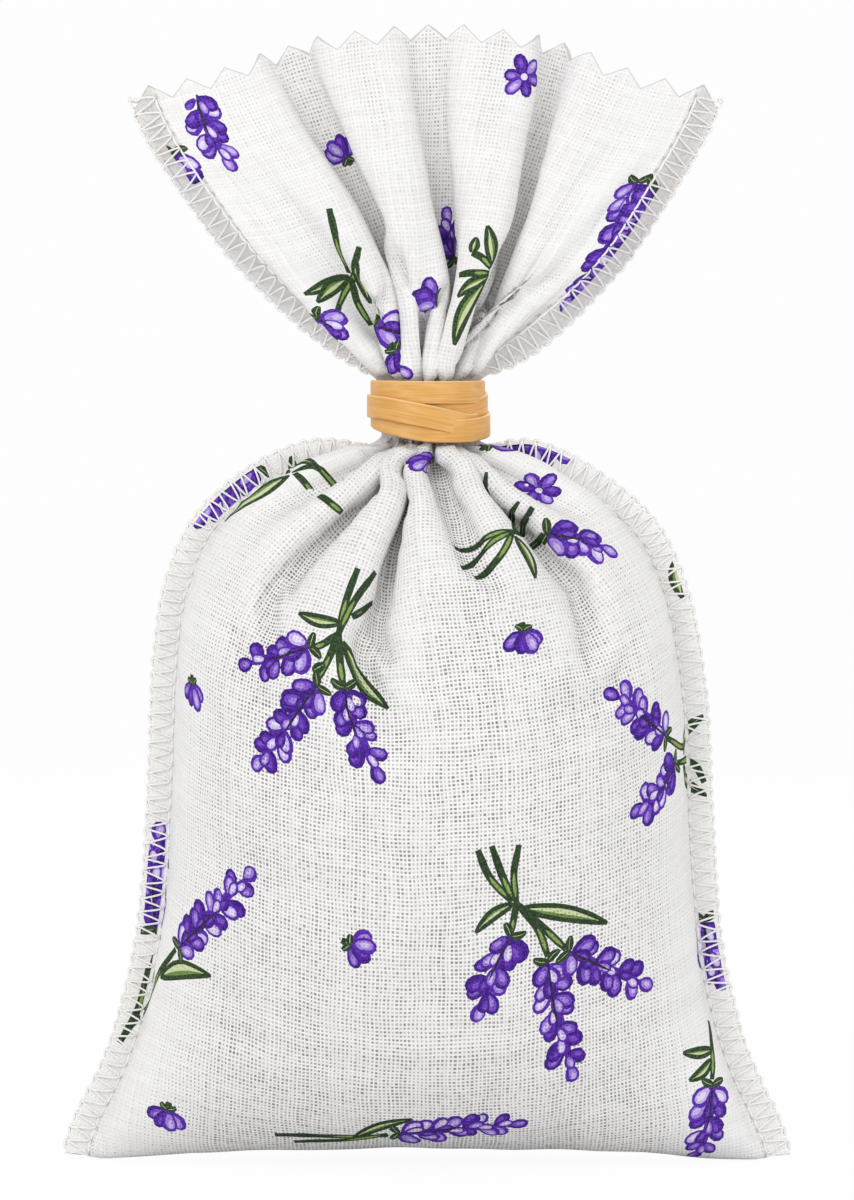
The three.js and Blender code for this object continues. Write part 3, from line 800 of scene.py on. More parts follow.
def settle(grid, rows):
    """Lets the filled cloth find its shape: it keeps its length, bends softly and is pushed out."""
    shape = grid.shape[:2]
    free = free_points(shape, rows)
    moving = free > 0
    step = steps_across(rows)[:, None]
    holds = []
    for row_gap, column_gap, stiffness, only_push in HOLDS:
        rest = np.hypot(column_gap * step, row_gap * STEP_V)
        for first, second in grid_pairs(shape, row_gap, column_gap):
            holds.append((first, second, rest[first[0]], stiffness, only_push))
    side = np.where(rows > 0, -1.0, 1.0)[:, None]
    pouch = (np.abs(rows) < NECK_FROM)[:, None]
    ruffle = (np.abs(rows) > NECK_TO)[:, None]
    for _ in range(SETTLE_ROUNDS):
        height = np.clip(grid[..., 2] / NECK_LOW, 0, 1)
        push = np.where(pouch, FILL_PUSH * (1.0 - PUSH_LOSS * height ** 4), 0.0) * free
        grid += outward_normals(grid) * push[..., None]
        for hold in holds * SETTLE_PASSES:
            pull_together(grid, free, *hold)
        grid[..., 2] = np.where(moving, np.maximum(grid[..., 2], LOWEST), grid[..., 2])
        depth = np.maximum(side * grid[..., 1], PANEL_GAP)
        grid[..., 1] = np.where(moving, side * depth, grid[..., 1])
        radius = np.hypot(grid[..., 0], grid[..., 1])
        grid[..., 2] = clear_of_band(radius, grid[..., 2], moving & pouch, moving & ruffle)
    return grid


def settled_strip():
    """The whole strip: back panel, bottom fold and front panel as one grid of points."""
    across = np.linspace(-HALF_WIDTH, HALF_WIDTH, COLUMNS + 1)
    panel_rows = np.linspace(0, PANEL_LENGTH, ROWS + 1)
    front = panel_start(True, panel_rows, across)
    back = panel_start(False, panel_rows, across)
    fold = smooth_line(BOTTOM_FOLD)
    grid = np.concatenate([back[:0:-1], front])
    rows = np.concatenate([-panel_rows[:0:-1], panel_rows])
    grid[ROWS, :, 1] = 0
    grid[ROWS, :, 2] = np.interp(across, fold[:, 0], fold[:, 1])
    grid = settle(grid, rows)
    return grid, rows, across


def ripple(grid, rows, across):
    """Small uneven waves of a handled cloth, with puckers along the stitched lines."""
    draw = np.random.default_rng(RIPPLE_SEED)
    v, u = np.meshgrid(rows, across, indexing="ij")
    wave = np.zeros_like(u)
    for _ in range(RIPPLES):
        turn = draw.uniform(0, 2 * math.pi)
        pitch = draw.uniform(*RIPPLE_PITCHES)
        shift = draw.uniform(0, 2 * math.pi)
        along = u * math.cos(turn) + v * math.sin(turn)
        wave += np.sin(along * 2 * math.pi / pitch + shift) * pitch / FULL_RIPPLE_PITCH
    from_seam = NEEDLE_LINE - np.abs(u)
    from_fold = np.abs(v)
    drift = PUCKER_DRIFT * np.sin(v / PUCKER_DRIFT_RUN)
    pucker = np.sin(v * 2 * math.pi / PUCKER_PITCH + drift + np.sign(u))
    pucker *= np.exp(-np.maximum(from_seam, 0) / PUCKER_REACH) * PUCKER_DEPTH
    calm = np.clip(from_seam / SEAM_CALM, 0, 1)
    calm *= np.clip((PANEL_LENGTH - from_fold) / EDGE_CALM, EDGE_WAVES, 1)
    calm *= 1 - np.exp(-((from_fold - NECK_MIDDLE) / NECK_CALM) ** 4)
    calm *= np.clip(from_fold / FOLD_CALM, 0, 1)
    lift = (wave * RIPPLE_HEIGHT + pucker) * calm
    return grid + outward_normals(grid) * lift[..., None]


def cubic_shares(t):
    """Shares of four neighbours in a smooth curve through them."""
    return (-0.5 * t + t ** 2 - 0.5 * t ** 3, 1 - 2.5 * t ** 2 + 1.5 * t ** 3,
            0.5 * t + 2 * t ** 2 - 1.5 * t ** 3, -0.5 * t ** 2 + 0.5 * t ** 3)


class SewnCloth:
    """The settled strip as a smooth surface, asked for by flat places (across, along)."""

    def __init__(self, grid):
        first = 2 * grid[:1] - grid[1:2]
        last = 2 * grid[-1:] - grid[-2:-1]
        tall = np.concatenate([first, grid, last])
        left = 2 * tall[:, :1] - tall[:, 1:2]
        right = 2 * tall[:, -1:] - tall[:, -2:-1]
        self.grid = np.concatenate([left, tall, right], axis=1)

    def places(self, u, v):
        """Points of the cloth's middle layer."""
        column = np.clip((np.asarray(u) + HALF_WIDTH) / STEP_U, 0, COLUMNS)
        row = np.clip((np.asarray(v) + PANEL_LENGTH) / STEP_V, 0, 2 * ROWS)
        i = np.minimum(column.astype(int), COLUMNS - 1)
        j = np.minimum(row.astype(int), 2 * ROWS - 1)
        across_shares = cubic_shares(column - i)
        along_shares = cubic_shares(row - j)
        total = 0
        for a in range(4):
            for b in range(4):
                total = total + (along_shares[a] * across_shares[b])[..., None] * self.grid[j + a, i + b]
        return total

    def normals(self, u, v):
        """Unit normals that point out of the sachet."""
        u = np.asarray(u)
        v = np.asarray(v)
        du = self.places(u + NORMAL_REACH, v) - self.places(u - NORMAL_REACH, v)
        dv = self.places(u, v + NORMAL_REACH) - self.places(u, v - NORMAL_REACH)
        return unit(np.cross(du, dv))


def as_seen(points):
    """Where points show in the photograph's view: across and up, in millimetres at the sachet's middle."""
    lift = math.radians(VIEW_ELEVATION)
    p = points - np.array(VIEW_MIDDLE)
    up = p[..., 2] * math.cos(lift) + p[..., 1] * math.sin(lift)
    near = -p[..., 1] * math.cos(lift) + p[..., 2] * math.sin(lift)
    scale = VIEW_DISTANCE / (VIEW_DISTANCE - near)
    return np.stack([p[..., 0] * scale + VIEW_MIDDLE[0], up * scale + VIEW_MIDDLE[2]], axis=-1)


class FrontView:
    """Finds the flat place of the cloth that shows at a spot of the front view."""

    def __init__(self, cloth):
        rows = np.arange(0, PANEL_LENGTH, VIEW_STEP)
        columns = np.arange(-HALF_WIDTH, HALF_WIDTH, VIEW_STEP)
        v, u = np.meshgrid(rows, columns, indexing="ij")
        self.u = u.ravel()
        self.v = v.ravel()
        points = cloth.places(self.u, self.v)
        self.seen = as_seen(points)
        self.depth = points[:, 1]

    def flat_place(self, spot):
        """The foremost cloth near a spot, as a place on the flat strip."""
        away = np.hypot(self.seen[:, 0] - spot[0], self.seen[:, 1] - spot[1])
        picks = np.flatnonzero(away <= max(VIEW_REACH, away.min() + VIEW_SLACK))
        front = picks[np.argmin(self.depth[picks] + NEARNESS * away[picks])]
        return np.array([self.u[front], self.v[front]])


def ink_tone(code):
    """A hex colour as linear light."""
    parts = [int(code[k:k + 2], 16) / 255 for k in (1, 3, 5)]
    return [c / 12.92 if c < 0.04045 else ((c + 0.055) / 1.055) ** 2.4 for c in parts]


class Print:
    """Flat shapes of ink, kept in the order in which they are printed."""

    def __init__(self, seed):
        self.draw = np.random.default_rng(seed)
        self.shapes = []

    def add(self, outline, ink):
        """One closed shape in one ink."""
        self.shapes.append((np.asarray(outline, dtype=float), ink_tone(ink)))

    def petal(self, foot, direction, length, width, shade):
        """A plump petal: a broad rim, a lighter body a little to one side and a pale heart."""
        turn = np.linspace(0, 2 * math.pi, PETAL_POINTS, endpoint=False)
        along = (1 - np.cos(turn)) / 2
        across = np.sin(turn) * np.abs(np.sin(turn / 2)) ** PETAL_BLUNTNESS / 2
        uneven = 1 + PETAL_UNEVEN * self.draw.standard_normal(PETAL_POINTS)
        drop = np.stack([along * length, across * width * uneven], axis=1)
        spin = spin_matrix(direction)
        rim, body, heart = PETAL_INKS[shade]
        middle = np.array([PETAL_MIDDLE * length, 0.0])
        lean = self.draw.uniform(*BODY_LEAN_RANGE) * width
        inside = middle + [0.0, lean]
        core = middle + [self.draw.uniform(*HEART_SHIFT_RANGE) * length, HEART_LEAN * lean]
        self.add(foot + drop @ spin, rim)
        self.add(foot + (inside + (drop[1:] - middle) * PETAL_BODY) @ spin, body)
        self.add(foot + (core + (drop[1::2] - middle) * PETAL_HEART) @ spin, heart)

    def ribbon(self, line, width, ink, taper=LINE_TAPER):
        """A drawn line that thins at its ends."""
        side = left_of(unit(np.gradient(line, axis=0)))
        share = np.linspace(0, 1, len(line))
        half = width / 2 * np.clip(np.minimum(share, 1 - share) / TAPER_RUN, taper, 1)
        self.strip(line, side, half, -half, ink)

    def strip(self, middle, side, upper, lower, ink):
        """The ink between two lines that run beside a middle line."""
        above = middle + upper[:, None] * side
        below = middle + lower[:, None] * side
        self.add(np.concatenate([above, below[::-1]]), ink)

    def stem(self, points):
        """A dark stem with a lighter line in its second half."""
        line = smooth_line(points, STEM_POINTS)
        self.ribbon(line, STEM_WIDTH, DARK_GREEN, STEM_TAPER)
        self.ribbon(line[len(line) // 2:-1], STEM_WIDTH * STEM_LIGHT, STEM_GREEN)

    def leaf(self, foot, tip, width):
        """A pointed leaf: a broad dark outline round a pale body with a green streak."""
        span, length, _, side = reach_between(foot, tip)
        bend = self.draw.uniform(*LEAF_BEND_RANGE) * length
        share = np.linspace(0, 1, LEAF_POINTS)
        middle = foot + np.outer(share, span) + np.outer(np.sin(share * math.pi) * bend, side)
        swell = np.sin(share ** LEAF_SKEW * math.pi) ** LEAF_BLUNTNESS * width / 2 + LEAF_LEAST
        self.strip(middle, side, swell, -swell, DARK_GREEN)
        body = np.maximum(swell - LEAF_RIM, LEAF_BODY_LEAST) * np.sin(share * math.pi) ** LEAF_BODY_BLUNTNESS
        body = body[1:-1]
        inside = middle[1:-1]
        self.strip(inside, side, body, -body, PALE_GREEN)
        self.strip(inside, side, -LEAF_STREAK * body, -body, LEAF_GREEN)

    def calyx(self, foot, direction, size):
        """Two small leaves at the foot of a flower."""
        for turn in CALYX_TURNS:
            aim = direction + turn + self.draw.uniform(-CALYX_SWAY, CALYX_SWAY)
            self.leaf(foot, foot + size * towards(aim), size * CALYX_WIDTH)

    def spike(self, foot, tip):
        """A lavender spike: pairs of petals on a thin stalk, smaller towards the tip, and one at the tip."""
        span, length, run, side = reach_between(foot, tip)
        direction = math.atan2(span[1], span[0])
        whorls = max(2, round((length - BARE_TIP) / WHORL_STEP))
        bend = self.draw.uniform(*SPIKE_BEND_RANGE) * length
        last = foot + run * (length - TIP_DEPTH)
        self.ribbon(np.linspace(foot, last + run, STALK_POINTS), SPIKE_CORE, VIOLET)
        self.petal(last, direction, *TIP_PETAL, self.draw.choice(TIP_SHADES))
        for k in reversed(range(whorls)):
            sway = (-1) ** k
            for hand in (-1, 1):
                share = (k + WHORL_STAGGER * hand * sway) / whorls
                size = PETAL_LENGTH * (FOOT_SIZE - SIZE_LOSS * share) * self.draw.uniform(*SPIKE_SIZE_RANGE)
                at = foot + (last - foot) * max(share, 0.0) + side * bend * math.sin(share * math.pi)
                aim = direction + hand * self.draw.uniform(*SPIKE_SPREAD_RANGE)
                shade = self.draw.choice(len(SHADE_CHANCES), p=SHADE_CHANCES)
                self.petal(at, aim, size, size * self.draw.uniform(*SPIKE_WIDTH_RANGE), shade)
            aim = direction + self.draw.uniform(*MIDDLE_SPREAD_RANGE) * sway
            shade = self.draw.choice(MIDDLE_SHADES)
            self.petal(at + MIDDLE_RISE * run, aim, MIDDLE_LENGTH * size, MIDDLE_WIDTH * size, shade)
        reach = np.linspace(0, STALK_REACH, STALK_POINTS)
        stalk = foot + np.outer(reach, span) + np.outer(np.sin(reach * math.pi) * bend, side)
        self.ribbon(stalk, STALK_WIDTH, STALK)
        self.calyx(foot, direction + math.pi, SPIKE_CALYX)

    def floret(self, foot, direction):
        """A single flower with its short stem."""
        aim = math.radians(direction)
        ahead = towards(aim)
        self.stem([foot + ahead * reach for reach in FLORET_STEM])
        for turn, shade in FLORET_PETALS:
            size = PETAL_LENGTH * self.draw.uniform(*FLORET_SIZE_RANGE)
            self.petal(foot, aim + turn, size, size * self.draw.uniform(*FLORET_WIDTH_RANGE), shade)
        self.calyx(foot, aim + math.pi, FLORET_CALYX)

    def rosette(self, middle):
        """An open flower seen from above: petals all round a pale eye."""
        for k in range(ROSETTE_PETALS):
            aim = (k + self.draw.uniform(-ROSETTE_SWAY, ROSETTE_SWAY)) * 2 * math.pi / ROSETTE_PETALS
            size = PETAL_LENGTH * self.draw.uniform(*ROSETTE_SIZE_RANGE)
            shade = ROSETTE_SHADES[k % len(ROSETTE_SHADES)]
            self.petal(middle, aim, size, ROSETTE_WIDTH * size, shade)
        turn = np.linspace(0, 2 * math.pi, EYE_POINTS, endpoint=False)
        self.add(middle + ROSETTE_EYE * np.stack([np.cos(turn), np.sin(turn)], axis=1), FROST)

    def bunch(self, knot, lean):
        """Three spikes on crossing stems, tied at a knot, with two leaves."""
        spin = spin_matrix(math.radians(lean))
        for end in BUNCH_STEMS:
            end = np.array(end)
            self.stem([knot + end @ spin, knot + (end * BUNCH_STEM_BEND) @ spin, knot])
        for foot, _ in BUNCH_SPIKES:
            foot = np.array(foot)
            self.stem([knot, knot + (foot * BUNCH_SPIKE_BEND) @ spin, knot + foot @ spin])
        for foot, tip, width in BUNCH_LEAVES:
            self.leaf(knot + np.array(foot) @ spin, knot + np.array(tip) @ spin, width)
        for foot, tip in BUNCH_SPIKES:
            self.spike(knot + np.array(foot) @ spin, knot + np.array(tip) @ spin)


def lavender_print(view):
    """The front's sprigs, found by where they show, and the back's, drawn on the flat cloth."""
    ink = Print(PRINT_SEED)
    find = view.flat_place
    for points in STEMS:
        ink.stem([find(p) for p in points])
    for foot, tip, width in LEAVES:
        ink.leaf(find(foot), find(tip), width)
    for foot, tip in SPIKES:
        ink.spike(find(foot), find(tip))
    for foot, direction in FLORETS:
        ink.floret(find(foot), direction)
    for middle in ROSETTES:
        ink.rosette(find(middle))
    for knot, lean in BACK_BUNCHES:
        ink.bunch(np.array(knot), lean)
    for foot, direction in BACK_FLORETS:
        ink.floret(np.array(foot), direction)
    return trimmed_shapes(ink.shapes)


def trimmed_shapes(shapes):
    """Cuts shapes off at the strip's sides, each at its own line, and leaves out those past its ends."""
    kept = []
    top = PANEL_LENGTH - TOOTH_DEPTH - END_MARGIN
    for k, (outline, tone) in enumerate(shapes):
        side = HALF_WIDTH - SIDE_MARGIN - SIDE_STAGGER * (k % SIDE_LINES)
        trimmed = outline.copy()
        trimmed[:, 0] = np.clip(outline[:, 0], -side, side)
        low = trimmed.min(axis=0)
        high = trimmed.max(axis=0)
        if high[0] - low[0] > LEAST_WIDTH and high[1] < top and low[1] > BACK_TRIM - top:
            kept.append((trimmed, tone))
    return kept


def pinked_border(columns, rows):
    """The strip's cut edge as one closed line of flat points: two plain sides and two zigzag ends."""
    pitch = columns // TEETH
    k = np.arange(columns + 1)
    notch = np.abs((k % pitch) / (pitch / 2) - 1) * TOOTH_DEPTH
    u = np.linspace(-HALF_WIDTH, HALF_WIDTH, columns + 1)
    top = PANEL_LENGTH - notch
    low = BACK_TRIM - top
    side = np.linspace(low[0], top[0], rows + 1)[1:-1]
    right = np.stack([np.full(len(side), HALF_WIDTH), side], axis=1)
    left = np.stack([np.full(len(side), -HALF_WIDTH), side[::-1]], axis=1)
    bottom = np.stack([u, low], axis=1)
    upper = np.stack([u[::-1], top[::-1]], axis=1)
    return np.concatenate([bottom, right, upper, left])


def within(outline, spots):
    """Which of the spots lie inside a closed outline."""
    inside = np.zeros(len(spots), dtype=bool)
    x, y = spots[:, 0], spots[:, 1]
    for (x1, y1), (x2, y2) in zip(outline, np.roll(outline, -1, axis=0)):
        if y1 != y2:
            inside ^= ((y1 > y) != (y2 > y)) & (x < (x2 - x1) * (y - y1) / (y2 - y1) + x1)
    return inside


def printed_tones(middles, shapes):
    """The ink on each triangle, by its middle: the shape printed last counts. Bare linen has no ink."""
    tones = np.zeros((len(middles), 4))
    order = np.argsort(middles[:, 1])
    heights = middles[order, 1]
    for outline, tone in shapes:
        low, high = outline.min(axis=0), outline.max(axis=0)
        near = order[np.searchsorted(heights, low[1]):np.searchsorted(heights, high[1])]
        near = near[(middles[near, 0] > low[0]) & (middles[near, 0] < high[0])]
        hit = near[within(outline, middles[near])]
        tones[hit] = [*tone, 1]
    return tones


def cut_sheet(outlines, points):
    """A flat sheet cut along closed outlines: its corners, its triangles, and what each corner came from."""
    verts = []
    edges = []
    for outline in outlines:
        start = len(verts)
        count = len(outline)
        verts += [Vector(p) for p in outline]
        edges += [(start + k, start + (k + 1) % count) for k in range(count)]
    verts += [Vector(p) for p in points]
    flat, _, triangles, origins, _, _ = delaunay_2d_cdt(verts, edges, [], 0, WELD, True)
    return np.array([tuple(p) for p in flat]), np.array(triangles), origins


def facing_up(flat, triangles):
    """The same triangles, with the corners of those that face down in the other order."""
    a, b, c = (flat[triangles[:, k]] for k in range(3))
    size = (b[:, 0] - a[:, 0]) * (c[:, 1] - a[:, 1]) - (b[:, 1] - a[:, 1]) * (c[:, 0] - a[:, 0])
    return np.where(size[:, None] < 0, triangles[:, ::-1], triangles)


def flat_triangles(border, points, shapes):
    """The strip cut along its border and print: corners, triangles, their inks, and the border's corners."""
    flat, triangles, origins = cut_sheet([border] + [outline for outline, _ in shapes], points)
    middles = flat[triangles].mean(axis=1)
    pitch = STRIP_WIDTH / TEETH
    notch = np.abs(((middles[:, 0] + HALF_WIDTH) / pitch) % 1 * 2 - 1) * TOOTH_DEPTH
    end = np.where(middles[:, 1] < 0, PANEL_LENGTH - BACK_TRIM, PANEL_LENGTH)
    keep = np.abs(middles[:, 1]) < end - notch - WELD
    border_at = np.zeros(len(border), dtype=int)
    for k, owners in enumerate(origins):
        for owner in owners:
            if owner < len(border):
                border_at[owner] = k
    return flat, facing_up(flat, triangles)[keep], printed_tones(middles[keep], shapes), border_at


def inner_points(step):
    """Even flat points inside the strip's border."""
    columns = round(STRIP_WIDTH / step)
    rows = round(2 * PANEL_LENGTH / step)
    u = np.linspace(-HALF_WIDTH, HALF_WIDTH, columns + 1)[1:-1]
    v = np.linspace(-PANEL_LENGTH, PANEL_LENGTH, rows + 1)
    v = v[np.abs(v) < PANEL_LENGTH - BACK_TRIM - TOOTH_DEPTH - 0.5 * step]
    v, u = np.meshgrid(v, u, indexing="ij")
    return np.stack([u.ravel(), v.ravel()], axis=1)


def bake_layout(flat, inside):
    """Picture places for the baked colours: both panels side by side, the hidden side at half size."""
    u = flat[:, 0] + HALF_WIDTH
    v = np.abs(flat[:, 1])
    back = flat[:, 1] < 0
    if inside:
        x = 2 * (STRIP_WIDTH + BAKE_GAP) + u / 2
        y = v / 2 + np.where(back, PANEL_LENGTH / 2 + BAKE_GAP, 0)
    else:
        x = u + np.where(back, STRIP_WIDTH + BAKE_GAP, 0)
        y = v
    return np.stack([x, y], axis=1) / BAKE_WIDTH + BAKE_MARGIN


def cut_rim(outer_border, inner_border):
    """Triangles that close the cut edge between the cloth's outer and inner side."""
    next_outer = np.roll(outer_border, -1)
    next_inner = np.roll(inner_border, -1)
    upper = np.stack([next_outer, outer_border, inner_border], axis=1)
    lower = np.stack([next_outer, inner_border, next_inner], axis=1)
    return np.concatenate([upper, lower])


def add_places(mesh, name, places):
    """A layer of flat places for the corners of a mesh's faces."""
    layer = mesh.uv_layers.new(name=name)
    layer.data.foreach_set("uv", places.astype(np.float32).ravel())


def add_ink(mesh, tones, count):
    """The print on the first faces of a mesh, and no ink on the others."""
    ink = np.zeros((count, 4))
    ink[:len(tones)] = tones
    colours = mesh.color_attributes.new("ink", "FLOAT_COLOR", "CORNER")
    colours.data.foreach_set("color", np.repeat(ink, 3, axis=0).astype(np.float32).ravel())


def linen_strip(cloth, shapes):
    """The sewn cloth as one closed body, with the print cut into its outer side."""
    border = pinked_border(BORDER_COLUMNS, BORDER_ROWS)
    outer, outer_faces, tones, outer_border = flat_triangles(border, inner_points(OUTER_STEP), shapes)
    inner, inner_faces, _, inner_border = flat_triangles(border, inner_points(INNER_STEP), [])
    count = len(outer)
    rim = cut_rim(outer_border, inner_border + count)
    faces = np.concatenate([outer_faces, inner_faces[:, ::-1] + count, rim])
    flat = np.concatenate([outer, inner])
    normals = cloth.normals(flat[:, 0], flat[:, 1])
    normals[count:] *= -1
    points = cloth.places(flat[:, 0], flat[:, 1]) + normals * CLOTH_THICKNESS / 2
    piece = mesh_piece("sewn_linen_strip", points, faces)
    mesh = piece.data
    corners = faces.ravel()
    layout = np.concatenate([bake_layout(outer, False), bake_layout(inner, True)])
    add_places(mesh, "flat", flat[corners])
    add_places(mesh, "OFBake", layout[corners])
    add_ink(mesh, tones, len(faces))
    hollow = np.zeros(len(points), dtype=np.float32)
    hollow[:count] = hollows(cloth, outer[:, 0], outer[:, 1])
    mesh.attributes.new("hollow", "FLOAT", "POINT").data.foreach_set("value", hollow)
    a, b, c = (points[rim[:, k]] for k in range(3))
    corner_normals = normals[corners]
    corner_normals[-3 * len(rim):] = np.repeat(unit(np.cross(b - a, c - a)), 3, axis=0)
    mesh.normals_split_custom_set(corner_normals.tolist())
    return piece


def hollows(cloth, u, v):
    """How far places lie below their surroundings: above zero in the valleys, below zero on the ridges."""
    here = cloth.places(u, v)
    beside = (cloth.places(u - FOLD_REACH, v) + cloth.places(u + FOLD_REACH, v)) / 2
    off_seam = np.abs(u) < NEEDLE_LINE - FOLD_REACH
    return ((beside - here) * cloth.normals(u, v)).sum(axis=-1) * off_seam


def mesh_piece(name, points, faces):
    """A mesh object from points in millimetres, shaded smooth."""
    mesh = bpy.data.meshes.new(name)
    mesh.from_pydata((np.asarray(points) * MM).tolist(), [], [list(map(int, f)) for f in faces])
    mesh.polygons.foreach_set("use_smooth", np.ones(len(mesh.polygons), dtype=bool))
    mesh.update()
    piece = bpy.data.objects.new(name, mesh)
    bpy.context.collection.objects.link(piece)
    return piece


def ring_faces(rings, sides, closed=False):
    """Faces between rings of points that follow each other, with a cap at each end unless they close."""
    faces = []
    for k in range(rings if closed else rings - 1):
        here = k * sides
        there = (k + 1) % rings * sides
        for j in range(sides):
            turn = (j + 1) % sides
            faces.append((here + j, here + turn, there + turn, there + j))
    if not closed:
        faces.append(tuple(range(sides))[::-1])
        faces.append(tuple(range((rings - 1) * sides, rings * sides)))
    return faces


def tube(line, radius):
    """Points and faces of a round thread along a line."""
    run = unit(np.gradient(line, axis=0))
    guide = np.tile([0.0, 1.0, 0.0], (len(line), 1))
    guide[np.abs(run[:, 1]) > GUIDE_LIMIT] = [0.0, 0.0, 1.0]
    side = unit(np.cross(run, guide))
    other = np.cross(run, side)
    turn = np.linspace(0, 2 * math.pi, THREAD_SIDES, endpoint=False)[None, :, None]
    ring = np.cos(turn) * side[:, None] + np.sin(turn) * other[:, None]
    points = (line[:, None] + ring * radius).reshape(-1, 3)
    return points, ring_faces(len(line), THREAD_SIDES)


def joined(parts):
    """Several sets of points and faces as one."""
    points = []
    faces = []
    count = 0
    for some, those in parts:
        points.append(some)
        faces += [tuple(k + count for k in f) for f in those]
        count += len(some)
    return np.concatenate(points), faces


def seam_point(cloth, side, u, v, face, lift):
    """A point beside the seam strip: face is 1 on the front and -1 on the back."""
    v = np.asarray(v) * face
    u = side * np.asarray(u) * np.ones_like(v)
    on_cloth = np.clip(u, -HALF_WIDTH, HALF_WIDTH)
    past_edge = np.maximum(np.abs(u) - HALF_WIDTH, 0)
    base = cloth.places(on_cloth, v)
    away = unit(base - cloth.places(on_cloth - side, v))
    normal = cloth.normals(on_cloth, v)
    return base + away * past_edge[..., None] + normal * np.asarray(lift)[..., None]


def stitch_runs():
    """The stretches of a seam that show: the pouch and the ruffle, as lists of stitch places."""
    pouch = (SEAM_START, NECK_FROM - STOP_BELOW_NECK)
    ruffle = (NECK_TO + START_ABOVE_NECK, PANEL_LENGTH - SEAM_END)
    return [np.linspace(*ends, round((ends[1] - ends[0]) / STITCH_LENGTH) + 1) for ends in (pouch, ruffle)]


def needle_thread(cloth, side):
    """The straight line of stitches on the seam's inner side, front and back."""
    parts = []
    top = CLOTH_THICKNESS / 2 + THREAD_RADIUS * NEEDLE_REST
    for stitches in stitch_runs():
        last = len(stitches) - 1
        share = np.linspace(0, last, NEEDLE_POINTS * last + 1)
        v = np.interp(share, np.arange(len(stitches)), stitches)
        lift = top - NEEDLE_DIP * np.abs(np.cos(share * math.pi)) ** NEEDLE_SHARPNESS
        for face in (1, -1):
            parts.append(tube(seam_point(cloth, side, NEEDLE_LINE, v, face, lift), THREAD_RADIUS))
    return joined(parts)


def looper_thread(cloth, side, face, seed):
    """The zigzag thread on one face of a seam, drawn round the edge at each stitch."""
    draw = np.random.default_rng(seed)
    parts = []
    top = CLOTH_THICKNESS / 2 + THREAD_RADIUS
    places, shares, lifts = np.array(ZIGZAG).T
    for stitches in stitch_runs():
        step = stitches[1] - stitches[0]
        count = len(stitches)
        sway = draw.uniform(-ZIGZAG_SWAY, ZIGZAG_SWAY, (count, len(ZIGZAG)))
        u = np.tile(HALF_WIDTH + places, count)
        v = (stitches[:, None] + step * (shares + sway)).ravel()
        points = seam_point(cloth, side, u, v, face, np.tile(top + lifts, count))
        parts.append(tube(smooth_line(points, ZIGZAG_POINTS), THREAD_RADIUS))
    return joined(parts)


def edge_knots(cloth, side, seed):
    """Small thread knots that make the seam's edge scalloped."""
    draw = np.random.default_rng(seed)
    parts = []
    bow = np.sin(np.linspace(0, math.pi, KNOT_POINTS))
    spread = KNOT_PLACE + np.linspace(-KNOT_HALF, KNOT_HALF, KNOT_POINTS)
    lift = np.full(KNOT_POINTS, -LAYER_GAP)
    for stitches in stitch_runs():
        step = stitches[1] - stitches[0]
        for at in stitches:
            u = HALF_WIDTH + KNOT_GAP + KNOT_REACH * bow * draw.uniform(*KNOT_REACH_RANGE)
            line = seam_point(cloth, side, u, at + step * spread, 1, lift)
            parts.append(tube(line, KNOT_RADIUS * draw.uniform(*KNOT_RADIUS_RANGE)))
    return joined(parts)


def band_path():
    """The middle line of the wound band, turn after turn and back to its start."""
    keys = np.array([key for turn in BAND_TURNS for key in turn])
    keys = np.concatenate([keys, keys[:1]])
    share = np.arange(BAND_STEPS * len(BAND_TURNS)) / BAND_STEPS
    angle = math.pi / 2 + share * 2 * math.pi
    line = between(keys, np.arange(len(keys)), share * len(BAND_TURNS[0]))
    for _ in range(BAND_SMOOTHING):
        line = (np.roll(line, 1, axis=0) + 2 * line + np.roll(line, -1, axis=0)) / 4
    height, radius = line.T
    return np.stack([radius * np.cos(angle), radius * np.sin(angle), height], axis=1)


def strap_outline():
    """The band's rounded cross section: places across its width and through its thickness."""
    turn = np.radians(np.add.outer((0, 90, 180, 270), (0, 30, 60, 90)).ravel())
    across = np.repeat([1, -1, -1, 1], 4) * (BAND_WIDTH / 2 - BAND_ROUNDING)
    through = np.repeat([1, 1, -1, -1], 4) * (BAND_THICKNESS / 2 - BAND_ROUNDING)
    return across + BAND_ROUNDING * np.cos(turn), through + BAND_ROUNDING * np.sin(turn)


def rubber_strap():
    """The band as one unbroken flat strap wound round the neck."""
    line = band_path()
    wide, thick = strap_outline()
    outward = unit(line * [1, 1, 0])
    run = unit(np.roll(line, -1, axis=0) - np.roll(line, 1, axis=0))
    upward = np.cross(outward, run)
    upward *= np.sign(upward[:, 2:3])
    points = line[:, None] + upward[:, None] * wide[None, :, None] + outward[:, None] * thick[None, :, None]
    faces = ring_faces(len(line), len(wide), True)
    piece = mesh_piece("wound_rubber_band", points.reshape(-1, 3), faces)
    length = line_lengths(np.concatenate([line, line[:1]]))
    beside = np.roll(wide, -1)
    along = np.stack([length[:-1], length[:-1], length[1:], length[1:]], axis=1)[:, None]
    up = np.stack([wide, beside, beside, wide], axis=1)[None]
    add_places(piece.data, "strap", np.stack(np.broadcast_arrays(along, up), axis=-1))
    return piece


